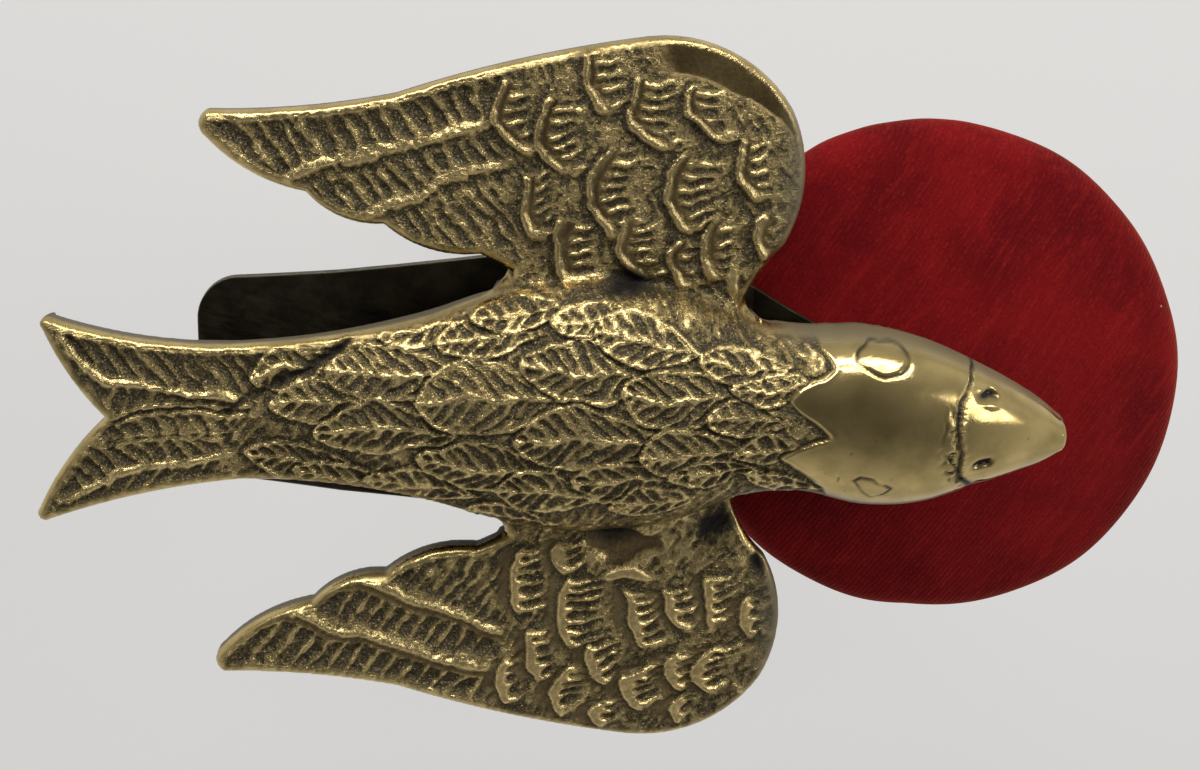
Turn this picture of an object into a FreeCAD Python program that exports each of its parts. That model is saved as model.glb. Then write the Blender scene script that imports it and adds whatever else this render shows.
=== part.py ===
import FreeCAD, Part
import math
import os

# Sewing bird: a brass bird that grips cloth in its beak, on a table clamp with a pincushion.
# Millimetres. +X points to the beak, +Y to the bird's left, +Z up.
# The origin is the centre of the clamp face that rests on the table top.

Vec = FreeCAD.Vector
UP = Vec(0, 0, 1)
SIDEWAYS = Vec(0, 1, 0)
BEND = 1 - math.sqrt(0.5)

# Clamp frame
FACE_LENGTH = 28.0
CLAMP_WIDTH = 13.0
UPPER_ARM_THICK = 6.0
LOWER_ARM_THICK = 7.5
SPINE_THICK = 6.5
SPINE_SWELL = 2.0
JAW_OPENING = 38.0
INNER_CORNER = 1.5
LOWER_CORNER = 4.0
OUTER_CORNER = 8.0
BOSS_RADIUS = 7.2

# Clamp screw, its pad and its thumb wing
SCREW_RADIUS = 3.0
TABLE_GAP = 22.0
TRAVEL_IN = 18.0
PAD_RADIUS = 8.0
PAD_THICK = 4.2
PAD_EDGE = 1.6
PAD_HUB_RADIUS = 4.6
PAD_CHAMFER = 0.4
PAD_UNDERCUT = (0.8, 0.5)
BALL_RADIUS = 2.2
BALL_NECK_RADIUS = 1.5
BALL_NECK = 1.5
RETAINER_THICK = 0.8
COLLAR_RADIUS = 4.6
COLLAR_LENGTH = 9.0
COLLAR_CLEAR = 2.0
THUMB_REACH = 13.0
THUMB_HEIGHT = 15.0
THUMB_THICK = 3.0
THUMB_DIP = 4.0
THUMB_OVERLAP = 3.0
THUMB_SHOULDER = (9.4, 0.4)
THUMB_LOBE_X = 7.8
THUMB_COLLAR_END = 2.0
SCREW_CHAMFER = 0.6
BALL_SUNK_SHARE = 0.75
CROSS_PIN_RADIUS = 0.9

# Cushion arm, its screws and the pedestal
ARM_THICK = 2.5
ARM_WIDTH = 11.0
ARM_TAIL = 12.0
ARM_EYE_RADIUS = 7.0
ARM_SCREW_X = 9.0
ARM_SCREW_RADIUS = 1.5
ARM_SCREW_HEAD_RADIUS = 2.9
ARM_SCREW_HEAD = 1.6
ARM_SCREW_FLOOR = 1.5
FLUSH_SCREW_RADIUS = 1.8
FLUSH_HEAD_RADIUS = 3.4
FLUSH_HEAD_LAND = 0.4
SCREW_SUNK = 0.2
SLOT_WIDTH = 0.8
SLOT_DEPTH = 0.7
PEDESTAL_HEIGHT = 16.0
PEDESTAL_FOOT = 1.6
PEDESTAL_STEP = 1.2
PEDESTAL_HOLLOW = (0.5, 1.6)
PEDESTAL_BASE_RADIUS = 5.4
PEDESTAL_WAIST_RADIUS = 3.0
PEDESTAL_KNOP_RADIUS = 4.9
PEDESTAL_KNOP_HALF = 1.8
PEDESTAL_KNOP_BELOW_FLANGE = 5.3
PEDESTAL_TOP_RADIUS = 3.5
PEDESTAL_THREAD = 8.0
FLANGE_THICK = 2.0
FLANGE_PAST_BRACKET = 0.75
FLANGE_WIDTH = 9.0

# Lower jaw plate
PLATE_THICK = 1.2
PLATE_TAIL_X = -40.2
PLATE_TAIL_HALF = 10.6
PLATE_TAIL_CORNER = 4.5
PLATE_TAIL_BEND_X = -26.0
PLATE_TAIL_SLOPE = 8.0
PLATE_FLARE_X = 2.0
PLATE_FLARE_HALF = 14.0
PLATE_NECK_HALF = 10.4
PLATE_TONGUE_X = 16.0
PLATE_TONGUE_SLOPE = 18.0
PLATE_TAIL_SWELL = 0.9
PLATE_SHOULDER_X = -9.0
PLATE_SHOULDER_HALF = 13.5
PLATE_TAPER = (11.0, 5.4)
PLATE_TIP_X = 41.8
PLATE_TIP_HALF = 1.8

# Hinge
HINGE_X = -4.0
HINGE_ABOVE_PLATE = 3.1
HINGE_PIN_RADIUS = 1.1
PIN_HEAD_RADIUS = 1.6
PIN_HEAD_THICK = 0.35
BRACKET_THICK = 1.0
BRACKET_LENGTH = 16.0
EAR_INSIDE = 3.6
EAR_THICK = 1.2
EAR_RADIUS = 2.1
RIVET_RADIUS = 1.2
RIVET_HEAD_RADIUS = 2.0
RIVET_HEAD_HEIGHT = 0.8
RIVET_FOOT = 0.4
RIVET_EDGE = 2.2

# Bird casting
BIRD_LIFT = 6.0
WING_BELOW = 1.8
WING_ABOVE = 2.0
WING_EDGE_BEVEL = 0.8
WING_MIDDLE = (-8.0, 22.5)
WING_HALF_SPAN = (28.0, 14.0)
TAIL_UNDERSIDE = 0.5
TAIL_THICK = 4.0
BEAK_UNDERSIDE = 1.4
MOUTH_X = 36.0
BEAK_GRIP_GAP = 0.2
LUG_THICK = 1.5
LUG_RADIUS = 1.7
LUG_GAP = 0.2
PIN_WAY_LENGTH = 9.0
HOLLOW_HALF_WIDTH = 5.5
HOLLOW_FRONT_X = 8.0
HOLLOW_REAR_X = -24.6
HOLLOW_ROOF = 2.2
EYE_X = 25.4
EYE_SIDE = 6.2
EYE_HEIGHT = 9.2
EYE_TILT = (0.80, 0.60)
HEAD_MIDDLE_Y = -0.1
EYE_RADIUS = 1.2
EYE_RIM = 0.3
GROOVE_X = 36.4
GROOVE = 0.35
GROOVE_RADIUS = 6.25
GROOVE_MIDDLE_Y = -0.7
GROOVE_HEIGHT = 3.6

# Tail spring and its post
SPRING_X = -20.0
SPRING_RADIUS = 2.7
SPRING_WIRE_RADIUS = 0.35
SPRING_TURNS = 5
SPRING_POST_RADIUS = 1.5
SPRING_POST_HEIGHT = 3.0
SPRING_POST_CHAMFER = 0.5
POST_TENON_RADIUS = 1.0

# Pincushion and its cup
CUSHION_X = 36.6
CUSHION_Y = -0.7
CUSHION_RADIUS = 26.8
CUSHION_CROWN = 6.2
CUSHION_BELOW = 6.5
CUSHION_FOOT_RADIUS = 13.0
CUSHION_UNDER_WING = 12.0
CUSHION_SIDE_RADIUS = 3.4
CUSHION_UNDER_TURN = 64.0
CUSHION_OVER_TURN = 76.0
CUSHION_UNDER_SAG = 0.5
VELVET_THICK = 0.8
CUP_THICK = 0.8
CUP_BEAD = 0.5
CARD_THICK = 1.0
STEM_RADIUS = 5.0
STEM_WAIST = 3.4
CUP_SCREW_RADIUS = 1.5
CUP_SCREW_HEAD_RADIUS = 3.0
CUP_SCREW_HEAD = 1.6
NUT_SIZE = 6.0
NUT_THICK = 2.2
NUT_POCKET = 2.0
CUP_SCREW_PROUD = 0.8

# Fits
RUNNING_GAP = 0.06
SCREW_GAP = 0.04
SOFT_GAP = 0.15
STUFFING_GAP = 0.05
SEAT_GAP = 0.3

# Heights and places that follow from the sizes above
FACE_END = FACE_LENGTH / 2
SPINE_IN = FACE_END + INNER_CORNER
SPINE_OUT = SPINE_IN + SPINE_THICK
LOWER_ARM_TOP = -JAW_OPENING
LOWER_ARM_BOTTOM = LOWER_ARM_TOP - LOWER_ARM_THICK
ARM_Z = UPPER_ARM_THICK
PEDESTAL_Z = ARM_Z + ARM_THICK
PLATE_BOTTOM = PEDESTAL_Z + PEDESTAL_HEIGHT
PLATE_TOP = PLATE_BOTTOM + PLATE_THICK
WING_Z = PLATE_TOP + BIRD_LIFT
HINGE_Z = PLATE_TOP + HINGE_ABOVE_PLATE
TONGUE_RISE = BIRD_LIFT + BEAK_UNDERSIDE - BEAK_GRIP_GAP
FLANGE_LENGTH = BRACKET_LENGTH + 2 * FLANGE_PAST_BRACKET
RIVET_OFFSET = BRACKET_LENGTH / 2 - RIVET_EDGE
RIVET_XS = (HINGE_X - RIVET_OFFSET, HINGE_X + RIVET_OFFSET)
CUSHION_Z = WING_Z - CUSHION_UNDER_WING
CARD_Z = CUSHION_Z - CUSHION_BELOW
CUP_Z = CARD_Z - CUP_THICK
PAD_BOTTOM = -TABLE_GAP - PAD_THICK
COLLAR_TOP = LOWER_ARM_BOTTOM - TRAVEL_IN - COLLAR_CLEAR
COLLAR_BOTTOM = COLLAR_TOP - COLLAR_LENGTH

EAR_OUTSIDE = EAR_INSIDE + EAR_THICK
CARD_RADIUS = CUSHION_FOOT_RADIUS - VELVET_THICK - SOFT_GAP
BALL_Z = PAD_BOTTOM + BALL_RADIUS * BALL_SUNK_SHARE
CROSS_PIN_Z = COLLAR_TOP - COLLAR_LENGTH / 2

# Wing outline: x and distance from the mirror plane, from the front root round the tip
WING_ROOT = (12.6, 6.0)
WING_OUTLINE = [
    ((14.4, 12.2), (17.4, 16.2)),
    ((19.1, 22.6), (17.5, 29.4)),
    ((12.5, 34.1), (3.6, 35.8)),
    ((-8.0, 33.6), (-20.0, 30.1)),
    ((-29.0, 28.7), (-37.4, 28.3)),
    ((-38.2, 27.2), (-37.6, 25.8)),
    ((-33.4, 22.5), (-28.5, 20.8)),
    ((-25.6, 18.6), (-21.2, 17.8)),
    ((-18.2, 15.9), (-12.0, 15.0)),
    (-9.0, 13.6),
    (-9.0, 6.0),
]

# Tail outline: each fork from its root round its tip to the middle of the fork
TAIL_ROOT = (-12.0, 10.6)
TAIL_FORK_Y = -0.8
TAIL_LEFT = [
    ((-23.0, 7.8), (-35.0, 6.5)),
    ((-44.3, 7.0), (-52.2, 8.9)),
    ((-53.0, 8.7), (-52.9, 7.9)),
    ((-50.8, 3.6), (-47.5, TAIL_FORK_Y)),
]
TAIL_RIGHT = [
    ((-23.0, -7.8), (-35.0, -6.9)),
    ((-44.3, -8.4), (-53.2, -11.0)),
    ((-54.2, -10.8), (-54.1, -9.9)),
    ((-51.2, -4.9), (-47.5, TAIL_FORK_Y)),
]

# Trunk sections: x, middle y, half width, underside and top above the wing plane
TRUNK = [
    (-36.0, 0.0, 6.2, 0.6, 4.6),
    (-26.0, 0.0, 7.3, -0.5, 5.8),
    (-18.0, 0.0, 9.0, -1.8, 7.2),
    (-10.0, 0.0, 11.6, -2.8, 8.4),
    (0.0, 0.0, 12.8, -3.0, 9.2),
    (8.0, 0.0, 11.4, -3.0, 9.5),
    (14.0, 0.2, 9.0, -2.8, 9.5),
    (19.5, 0.3, 8.4, -2.0, 9.9),
    (26.0, -0.1, 9.0, -1.0, 11.2),
    (31.5, -0.5, 8.2, 0.2, 10.8),
    (36.5, -0.7, 6.3, 1.4, 9.8),
    (41.0, -1.3, 4.5, 1.4, 8.2),
    (44.4, -2.0, 3.1, 1.4, 6.6),
]
BEAK_TIP_X = 46.4
BEAK_TIP_WIDTH_SHARE = 0.45
BEAK_TIP_RISE = 1.2
BEAK_TIP_FALL = 1.4


# Feather relief: heights and depths, then each body feather's tip, root and half width
FEATHER_RISE = 0.6
FEATHER_FOOT = 2.6
SHELL_RISE = 0.6
SHELL_REACH = 3.6
SHELL_BOW = 1.3
QUILL_WIDTH = 0.9
QUILL_DEPTH = 0.5
BODY_FEATHERS = [
    ((-34.0, 1.6), (-25.0, 1.8), 1.5),
    ((-34.0, -3.4), (-25.5, -4.2), 1.4),
    ((-26.8, 4.5), (-15.6, 4.9), 2.3),
    ((-27.8, -1.4), (-15.8, -1.1), 2.4),
    ((-18.5, 1.8), (-5.0, 2.4), 2.5),
    ((-18.2, -4.0), (-5.4, -4.7), 2.3),
    ((-9.0, -1.7), (4.6, -1.4), 2.4),
    ((-8.2, 5.6), (4.4, 5.4), 2.4),
    ((-11.0, -8.0), (-1.0, -8.0), 1.8),
    ((-2.0, -5.9), (8.0, -5.4), 1.7),
    ((-1.4, 9.3), (9.0, 8.0), 1.5),
    ((3.4, 2.6), (13.4, 3.0), 2.0),
    ((5.4, -1.9), (14.0, -1.6), 1.6),
]

# Wing shells: the x of each row, then the middle and half height of its shells
WING_SHELLS = {
    -10.5: [(21.0, 3.0), (28.5, 3.0)],
    -4.8: [(17.4, 2.6), (25.0, 3.0), (31.0, 2.3)],
    1.0: [(20.8, 3.0), (28.4, 3.0)],
    6.8: [(17.4, 2.6), (24.6, 3.0), (31.0, 2.3)],
    12.4: [(21.0, 3.0), (27.6, 2.4)],
}

# Quill grooves, from the feather's root to its tip
WING_QUILLS = [((-12.0, 27.6), (-30.0, 22.6)), ((-11.5, 23.2), (-23.0, 19.0))]
TAIL_QUILLS = [((-36.0, 0.0), (-46.0, 0.0)), ((-37.0, 3.4), (-49.0, 5.8))]


def level(z):
    """Places outline points on a horizontal plane."""
    return lambda a, b: Vec(a, b, z)


def upright(y):
    """Places outline points on a plane that faces sideways."""
    return lambda a, b: Vec(a, y, b)


def outline(place, start, steps):
    """A closed wire: each step is a point to run straight to, or an arc's middle and end."""
    edges = []
    here = start
    for step in steps:
        if isinstance(step[0], tuple):
            middle, there = step
            edges.append(Part.Arc(place(*here), place(*middle), place(*there)).toShape())
        else:
            there = step
            edges.append(Part.makeLine(place(*here), place(*there)))
        here = there
    if here != start:
        edges.append(Part.makeLine(place(*here), place(*start)))
    return Part.Wire(edges)


def slab(wire, height):
    """A solid that rises straight up from a flat wire."""
    return Part.Face(wire).extrude(Vec(0, 0, height))


def turned(start, steps, x=0.0, y=0.0):
    """A solid of revolution about an upright axis, from an outline of radius and height."""
    solid = Part.Face(outline(upright(0), start, steps)).revolve(Vec(0, 0, 0), UP, 360)
    solid.translate(Vec(x, y, 0))
    return solid


def dome_middle(edge_radius, edge, top):
    """The middle of an arc that starts at a round edge and lies level where it meets the axis."""
    rise = top - edge
    radius = (edge_radius ** 2 + rise ** 2) / (2 * rise)
    half_turn = math.asin(edge_radius / abs(radius)) / 2
    return (abs(radius) * math.sin(half_turn), top - radius * (1 - math.cos(half_turn)))


def rod(radius, bottom, top, x=0.0, y=0.0):
    """An upright cylinder between two heights."""
    return Part.makeCylinder(radius, top - bottom, Vec(x, y, bottom))


def crossbar(radius, half_length, x, z):
    """A cylinder along Y, centred on the mirror plane."""
    return Part.makeCylinder(radius, 2 * half_length, Vec(x, -half_length, z), SIDEWAYS)


def block(x0, x1, y0, y1, z0, z1):
    """A box between two values on each axis."""
    return Part.makeBox(x1 - x0, y1 - y0, z1 - z0, Vec(x0, y0, z0))


def mirrored(shape):
    """The same shape on the bird's other side."""
    return shape.mirror(Vec(0, 0, 0), SIDEWAYS)


def one_solid(shape):
    """The shape's single solid, after its coplanar faces are merged."""
    return shape.removeSplitter().Solids[0]


def clamp_frame():
    """A cast C: a flat upper arm, a spine that swells outward, and a lower arm with a screw boss."""
    side = outline(upright(-CLAMP_WIDTH), (-FACE_END, 0), [
        (-FACE_END, UPPER_ARM_THICK),
        (SPINE_OUT - OUTER_CORNER, UPPER_ARM_THICK),
        ((SPINE_OUT - OUTER_CORNER * BEND, UPPER_ARM_THICK - OUTER_CORNER * BEND),
         (SPINE_OUT, UPPER_ARM_THICK - OUTER_CORNER)),
        ((SPINE_OUT + SPINE_SWELL, (UPPER_ARM_THICK + LOWER_ARM_BOTTOM) / 2),
         (SPINE_OUT, LOWER_ARM_BOTTOM + OUTER_CORNER)),
        ((SPINE_OUT - OUTER_CORNER * BEND, LOWER_ARM_BOTTOM + OUTER_CORNER * BEND),
         (SPINE_OUT - OUTER_CORNER, LOWER_ARM_BOTTOM)),
        (0, LOWER_ARM_BOTTOM),
        (0, LOWER_ARM_TOP),
        (SPINE_IN - LOWER_CORNER, LOWER_ARM_TOP),
        ((SPINE_IN - LOWER_CORNER * BEND, LOWER_ARM_TOP + LOWER_CORNER * BEND),
         (SPINE_IN, LOWER_ARM_TOP + LOWER_CORNER)),
        (SPINE_IN, -INNER_CORNER),
        ((SPINE_IN - INNER_CORNER * BEND, -INNER_CORNER * BEND), (FACE_END, 0)),
    ])
    body = Part.Face(side).extrude(Vec(0, 2 * CLAMP_WIDTH, 0))
    half = CLAMP_WIDTH / 2
    far = SPINE_OUT + 2 * SPINE_SWELL
    plan = outline(level(LOWER_ARM_BOTTOM), (-FACE_END + half, -half), [
        (far, -half),
        (far, half),
        (-FACE_END + half, half),
        ((-FACE_END, 0), (-FACE_END + half, -half)),
    ])
    body = body.common(slab(plan, UPPER_ARM_THICK - LOWER_ARM_BOTTOM))
    body = body.fuse(rod(BOSS_RADIUS, LOWER_ARM_BOTTOM, LOWER_ARM_TOP))
    body = body.cut(rod(SCREW_RADIUS + RUNNING_GAP, LOWER_ARM_BOTTOM - 1, LOWER_ARM_TOP + 1))
    body = body.cut(flush_screw(SCREW_GAP, SCREW_SUNK, UPPER_ARM_THICK + 1, HINGE_X))
    body = body.cut(rod(FLUSH_HEAD_RADIUS + SCREW_GAP, -1, SCREW_SUNK + FLUSH_HEAD_LAND, HINGE_X))
    body = body.cut(rod(ARM_SCREW_RADIUS + SCREW_GAP, ARM_SCREW_FLOOR - SEAT_GAP,
                        UPPER_ARM_THICK + 1, ARM_SCREW_X))
    return one_solid(body)


def flush_screw(gap, bottom, top, x):
    """A countersunk screw, or with a gap its hole, that points up from a flush head."""
    head = FLUSH_HEAD_RADIUS + gap
    shank = FLUSH_SCREW_RADIUS + gap
    return turned((0, bottom), [
        (head, bottom),
        (head, bottom + FLUSH_HEAD_LAND),
        (shank, bottom + FLUSH_HEAD_LAND + head - shank),
        (shank, top),
        (0, top),
    ], x)


def pedestal_screw():
    """The countersunk screw that holds arm and pedestal, with its slot in the flush head."""
    body = flush_screw(0.0, SCREW_SUNK, PEDESTAL_Z + PEDESTAL_THREAD, HINGE_X)
    slot = block(HINGE_X - FLUSH_HEAD_RADIUS, HINGE_X + FLUSH_HEAD_RADIUS,
                 -SLOT_WIDTH / 2, SLOT_WIDTH / 2, 0, SCREW_SUNK + SLOT_DEPTH)
    return one_solid(body.cut(slot))


def cushion_arm():
    """A flat brass bar from the clamp to the cup, round at both ends, wider under the cup."""
    half = ARM_WIDTH / 2
    tail = -ARM_TAIL
    bar = slab(outline(level(ARM_Z), (tail + half, -half), [
        (CUSHION_X, CUSHION_Y - half),
        ((CUSHION_X + half, CUSHION_Y), (CUSHION_X, CUSHION_Y + half)),
        (tail + half, half),
        ((tail, 0), (tail + half, -half)),
    ]), ARM_THICK)
    bar = bar.fuse(rod(ARM_EYE_RADIUS, ARM_Z, PEDESTAL_Z, CUSHION_X, CUSHION_Y))
    bar = bar.cut(rod(FLUSH_SCREW_RADIUS + SCREW_GAP, 0, PEDESTAL_Z + 1, HINGE_X))
    bar = bar.cut(rod(ARM_SCREW_RADIUS + SCREW_GAP, 0, PEDESTAL_Z + 1, ARM_SCREW_X))
    bar = bar.cut(rod(CUP_SCREW_RADIUS + SCREW_GAP, 0, PEDESTAL_Z + 1, CUSHION_X, CUSHION_Y))
    return one_solid(bar)


def arm_screw():
    """A round-headed slotted screw that keeps the arm from turning on the clamp."""
    crown = PEDESTAL_Z + ARM_SCREW_HEAD
    body = turned((0, ARM_SCREW_FLOOR), [
        (ARM_SCREW_RADIUS, ARM_SCREW_FLOOR),
        (ARM_SCREW_RADIUS, PEDESTAL_Z),
        (ARM_SCREW_HEAD_RADIUS, PEDESTAL_Z),
        (dome_middle(ARM_SCREW_HEAD_RADIUS, PEDESTAL_Z, crown), (0, crown)),
    ], ARM_SCREW_X)
    slot = block(ARM_SCREW_X - ARM_SCREW_HEAD_RADIUS, ARM_SCREW_X + ARM_SCREW_HEAD_RADIUS,
                 -SLOT_WIDTH / 2, SLOT_WIDTH / 2, crown - SLOT_DEPTH, crown)
    return one_solid(body.cut(slot))


def pedestal():
    """A turned brass baluster with an oblong flange that carries the jaw plate."""
    base = PEDESTAL_Z
    seat = base + PEDESTAL_HEIGHT - FLANGE_THICK
    knop = seat - PEDESTAL_KNOP_BELOW_FLANGE
    hollow_in, hollow_up = PEDESTAL_HOLLOW
    body = turned((0, base), [
        (PEDESTAL_BASE_RADIUS, base),
        (PEDESTAL_BASE_RADIUS, base + PEDESTAL_FOOT),
        (PEDESTAL_BASE_RADIUS - PEDESTAL_STEP, base + PEDESTAL_FOOT),
        ((PEDESTAL_WAIST_RADIUS + hollow_in, base + PEDESTAL_FOOT + hollow_up),
         (PEDESTAL_WAIST_RADIUS, knop - PEDESTAL_KNOP_HALF)),
        ((PEDESTAL_KNOP_RADIUS, knop), (PEDESTAL_WAIST_RADIUS, knop + PEDESTAL_KNOP_HALF)),
        (PEDESTAL_TOP_RADIUS, seat),
        (PEDESTAL_TOP_RADIUS, base + PEDESTAL_HEIGHT),
        (0, base + PEDESTAL_HEIGHT),
    ], HINGE_X)
    half = FLANGE_WIDTH / 2
    run = FLANGE_LENGTH / 2 - half
    flange = slab(outline(level(seat), (HINGE_X - run, -half), [
        (HINGE_X + run, -half),
        ((HINGE_X + run + half, 0), (HINGE_X + run, half)),
        (HINGE_X - run, half),
        ((HINGE_X - run - half, 0), (HINGE_X - run, -half)),
    ]), FLANGE_THICK)
    body = body.fuse(flange)
    body = body.cut(rod(FLUSH_SCREW_RADIUS + SCREW_GAP, base - 1,
                        base + PEDESTAL_THREAD + SEAT_GAP, HINGE_X))
    for x in RIVET_XS:
        body = body.cut(rod(RIVET_RADIUS + SCREW_GAP, base, PLATE_BOTTOM + 1, x))
    return one_solid(body)


def both_sides(start, half, tip=None):
    """Outline steps for one side, an optional arc over the end, and the other side back again."""
    points = [start] + [step[-1] if isinstance(step[0], tuple) else step for step in half]
    steps = list(half)
    flip = lambda point: (point[0], -point[1])
    if tip:
        steps.append((tip, flip(points[-1])))
    else:
        steps.append(flip(points[-1]))
    for step, there in zip(reversed(half), reversed(points[:-1])):
        if isinstance(step[0], tuple):
            steps.append((flip(step[0]), flip(there)))
        else:
            steps.append(flip(there))
    return steps


def jaw_plate():
    """The lower jaw: a thin brass plate, its tail bent down and its tongue bent up to the beak."""
    drop = (PLATE_TAIL_BEND_X - PLATE_TAIL_X) * math.tan(math.radians(PLATE_TAIL_SLOPE))
    tongue_end = PLATE_TONGUE_X + TONGUE_RISE / math.tan(math.radians(PLATE_TONGUE_SLOPE))
    top_line = [
        (PLATE_TAIL_X, PLATE_TOP - drop),
        (PLATE_TAIL_BEND_X, PLATE_TOP),
        (PLATE_TONGUE_X, PLATE_TOP),
        (tongue_end, PLATE_TOP + TONGUE_RISE),
        (PLATE_TIP_X, PLATE_TOP + TONGUE_RISE),
    ]
    under_line = [(x, z - PLATE_THICK) for x, z in reversed(top_line)]
    side = outline(upright(-2 * PLATE_FLARE_HALF), top_line[0], top_line[1:] + under_line)
    strip = Part.Face(side).extrude(Vec(0, 4 * PLATE_FLARE_HALF, 0))
    taper_x, taper_in = PLATE_TAPER
    start = (PLATE_TAIL_X, PLATE_TAIL_HALF - PLATE_TAIL_CORNER)
    half = [
        ((PLATE_TAIL_X + PLATE_TAIL_CORNER * BEND, PLATE_TAIL_HALF - PLATE_TAIL_CORNER * BEND),
         (PLATE_TAIL_X + PLATE_TAIL_CORNER, PLATE_TAIL_HALF)),
        ((PLATE_TAIL_BEND_X, PLATE_TAIL_HALF + PLATE_TAIL_SWELL), (PLATE_SHOULDER_X, PLATE_SHOULDER_HALF)),
        ((PLATE_FLARE_X, PLATE_FLARE_HALF), (PLATE_TONGUE_X, PLATE_NECK_HALF)),
        ((PLATE_TONGUE_X + taper_x, PLATE_NECK_HALF - taper_in), (tongue_end, PLATE_TIP_HALF)),
        (PLATE_TIP_X - PLATE_TIP_HALF, PLATE_TIP_HALF),
    ]
    plan = outline(level(PLATE_BOTTOM - drop), start, both_sides(start, half, (PLATE_TIP_X, 0)))
    plate = strip.common(slab(plan, drop + PLATE_THICK + TONGUE_RISE))
    for x in RIVET_XS:
        plate = plate.cut(rod(RIVET_RADIUS + SCREW_GAP, PLATE_BOTTOM - 1, PLATE_TOP + 1, x))
    plate = plate.cut(rod(POST_TENON_RADIUS + SCREW_GAP, PLATE_BOTTOM - 1, PLATE_TOP + 1, SPRING_X))
    return one_solid(plate)


def hinge_bracket():
    """A folded brass U: a base on the plate and two ears that hold the pin."""
    base = block(HINGE_X - BRACKET_LENGTH / 2, HINGE_X + BRACKET_LENGTH / 2,
                 -EAR_OUTSIDE, EAR_OUTSIDE, PLATE_TOP, PLATE_TOP + BRACKET_THICK)
    ears = crossbar(EAR_RADIUS, EAR_OUTSIDE, HINGE_X, HINGE_Z)
    ears = ears.fuse(block(HINGE_X - EAR_RADIUS, HINGE_X + EAR_RADIUS,
                           -EAR_OUTSIDE, EAR_OUTSIDE, PLATE_TOP, HINGE_Z))
    ears = ears.cut(block(HINGE_X - BRACKET_LENGTH, HINGE_X + BRACKET_LENGTH,
                          -EAR_INSIDE, EAR_INSIDE, PLATE_TOP, HINGE_Z + 2 * EAR_RADIUS))
    bracket = base.fuse(ears)
    bracket = bracket.cut(crossbar(HINGE_PIN_RADIUS + SCREW_GAP, 2 * EAR_OUTSIDE, HINGE_X, HINGE_Z))
    for x in RIVET_XS:
        bracket = bracket.cut(rod(RIVET_RADIUS + SCREW_GAP, PLATE_TOP - 1, HINGE_Z, x))
    return one_solid(bracket)


def hinge_pin():
    """The pin through both ears, with its ends peened over."""
    pin = crossbar(HINGE_PIN_RADIUS, EAR_OUTSIDE + PIN_HEAD_THICK, HINGE_X, HINGE_Z)
    head = Part.makeCylinder(PIN_HEAD_RADIUS, PIN_HEAD_THICK,
                             Vec(HINGE_X, EAR_OUTSIDE, HINGE_Z), SIDEWAYS)
    return one_solid(pin.fuse(head).fuse(mirrored(head)))


def bracket_rivets():
    """Two rivets through bracket, plate and pedestal flange, domed above and flat below."""
    seat = PLATE_TOP + BRACKET_THICK
    crown = seat + RIVET_HEAD_HEIGHT
    under = PLATE_BOTTOM - FLANGE_THICK
    rivets = [turned((0, under - RIVET_FOOT), [
        (RIVET_HEAD_RADIUS, under - RIVET_FOOT),
        (RIVET_HEAD_RADIUS, under),
        (RIVET_RADIUS, under),
        (RIVET_RADIUS, seat),
        (RIVET_HEAD_RADIUS, seat),
        (dome_middle(RIVET_HEAD_RADIUS, seat, crown), (0, crown)),
    ], x) for x in RIVET_XS]
    return Part.makeCompound(rivets)


def spring_post():
    """The post riveted into the plate that keeps the spring in place."""
    return turned((0, PLATE_BOTTOM), [
        (POST_TENON_RADIUS, PLATE_BOTTOM),
        (POST_TENON_RADIUS, PLATE_TOP),
        (SPRING_POST_RADIUS, PLATE_TOP),
        (SPRING_POST_RADIUS, PLATE_TOP + SPRING_POST_HEIGHT - SPRING_POST_CHAMFER),
        (SPRING_POST_RADIUS - SPRING_POST_CHAMFER, PLATE_TOP + SPRING_POST_HEIGHT),
        (0, PLATE_TOP + SPRING_POST_HEIGHT),
    ], SPRING_X)


def helix_point(turn, low, rise):
    """A point on the coil's centreline after so many turns."""
    angle = 2 * math.pi * turn
    return Vec(SPRING_X + SPRING_RADIUS * math.cos(angle),
               SPRING_RADIUS * math.sin(angle), low + rise * turn)


def helix_heading(turn, rise):
    """The direction of the coil's centreline after so many turns."""
    angle = 2 * math.pi * turn
    heading = Vec(-math.sin(angle), math.cos(angle), rise / (2 * math.pi * SPRING_RADIUS))
    return heading.normalize()


def arc_from_corner(start, corner, end):
    """The arc that leaves start towards the corner and arrives at end from it."""
    middle = (start + end) * 0.5
    turn = (corner - start).getAngle(end - corner) / 2
    reach = math.tan(turn / 2) / math.tan(turn)
    return Part.Arc(start, middle + (corner - middle) * reach, end).toShape()


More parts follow.
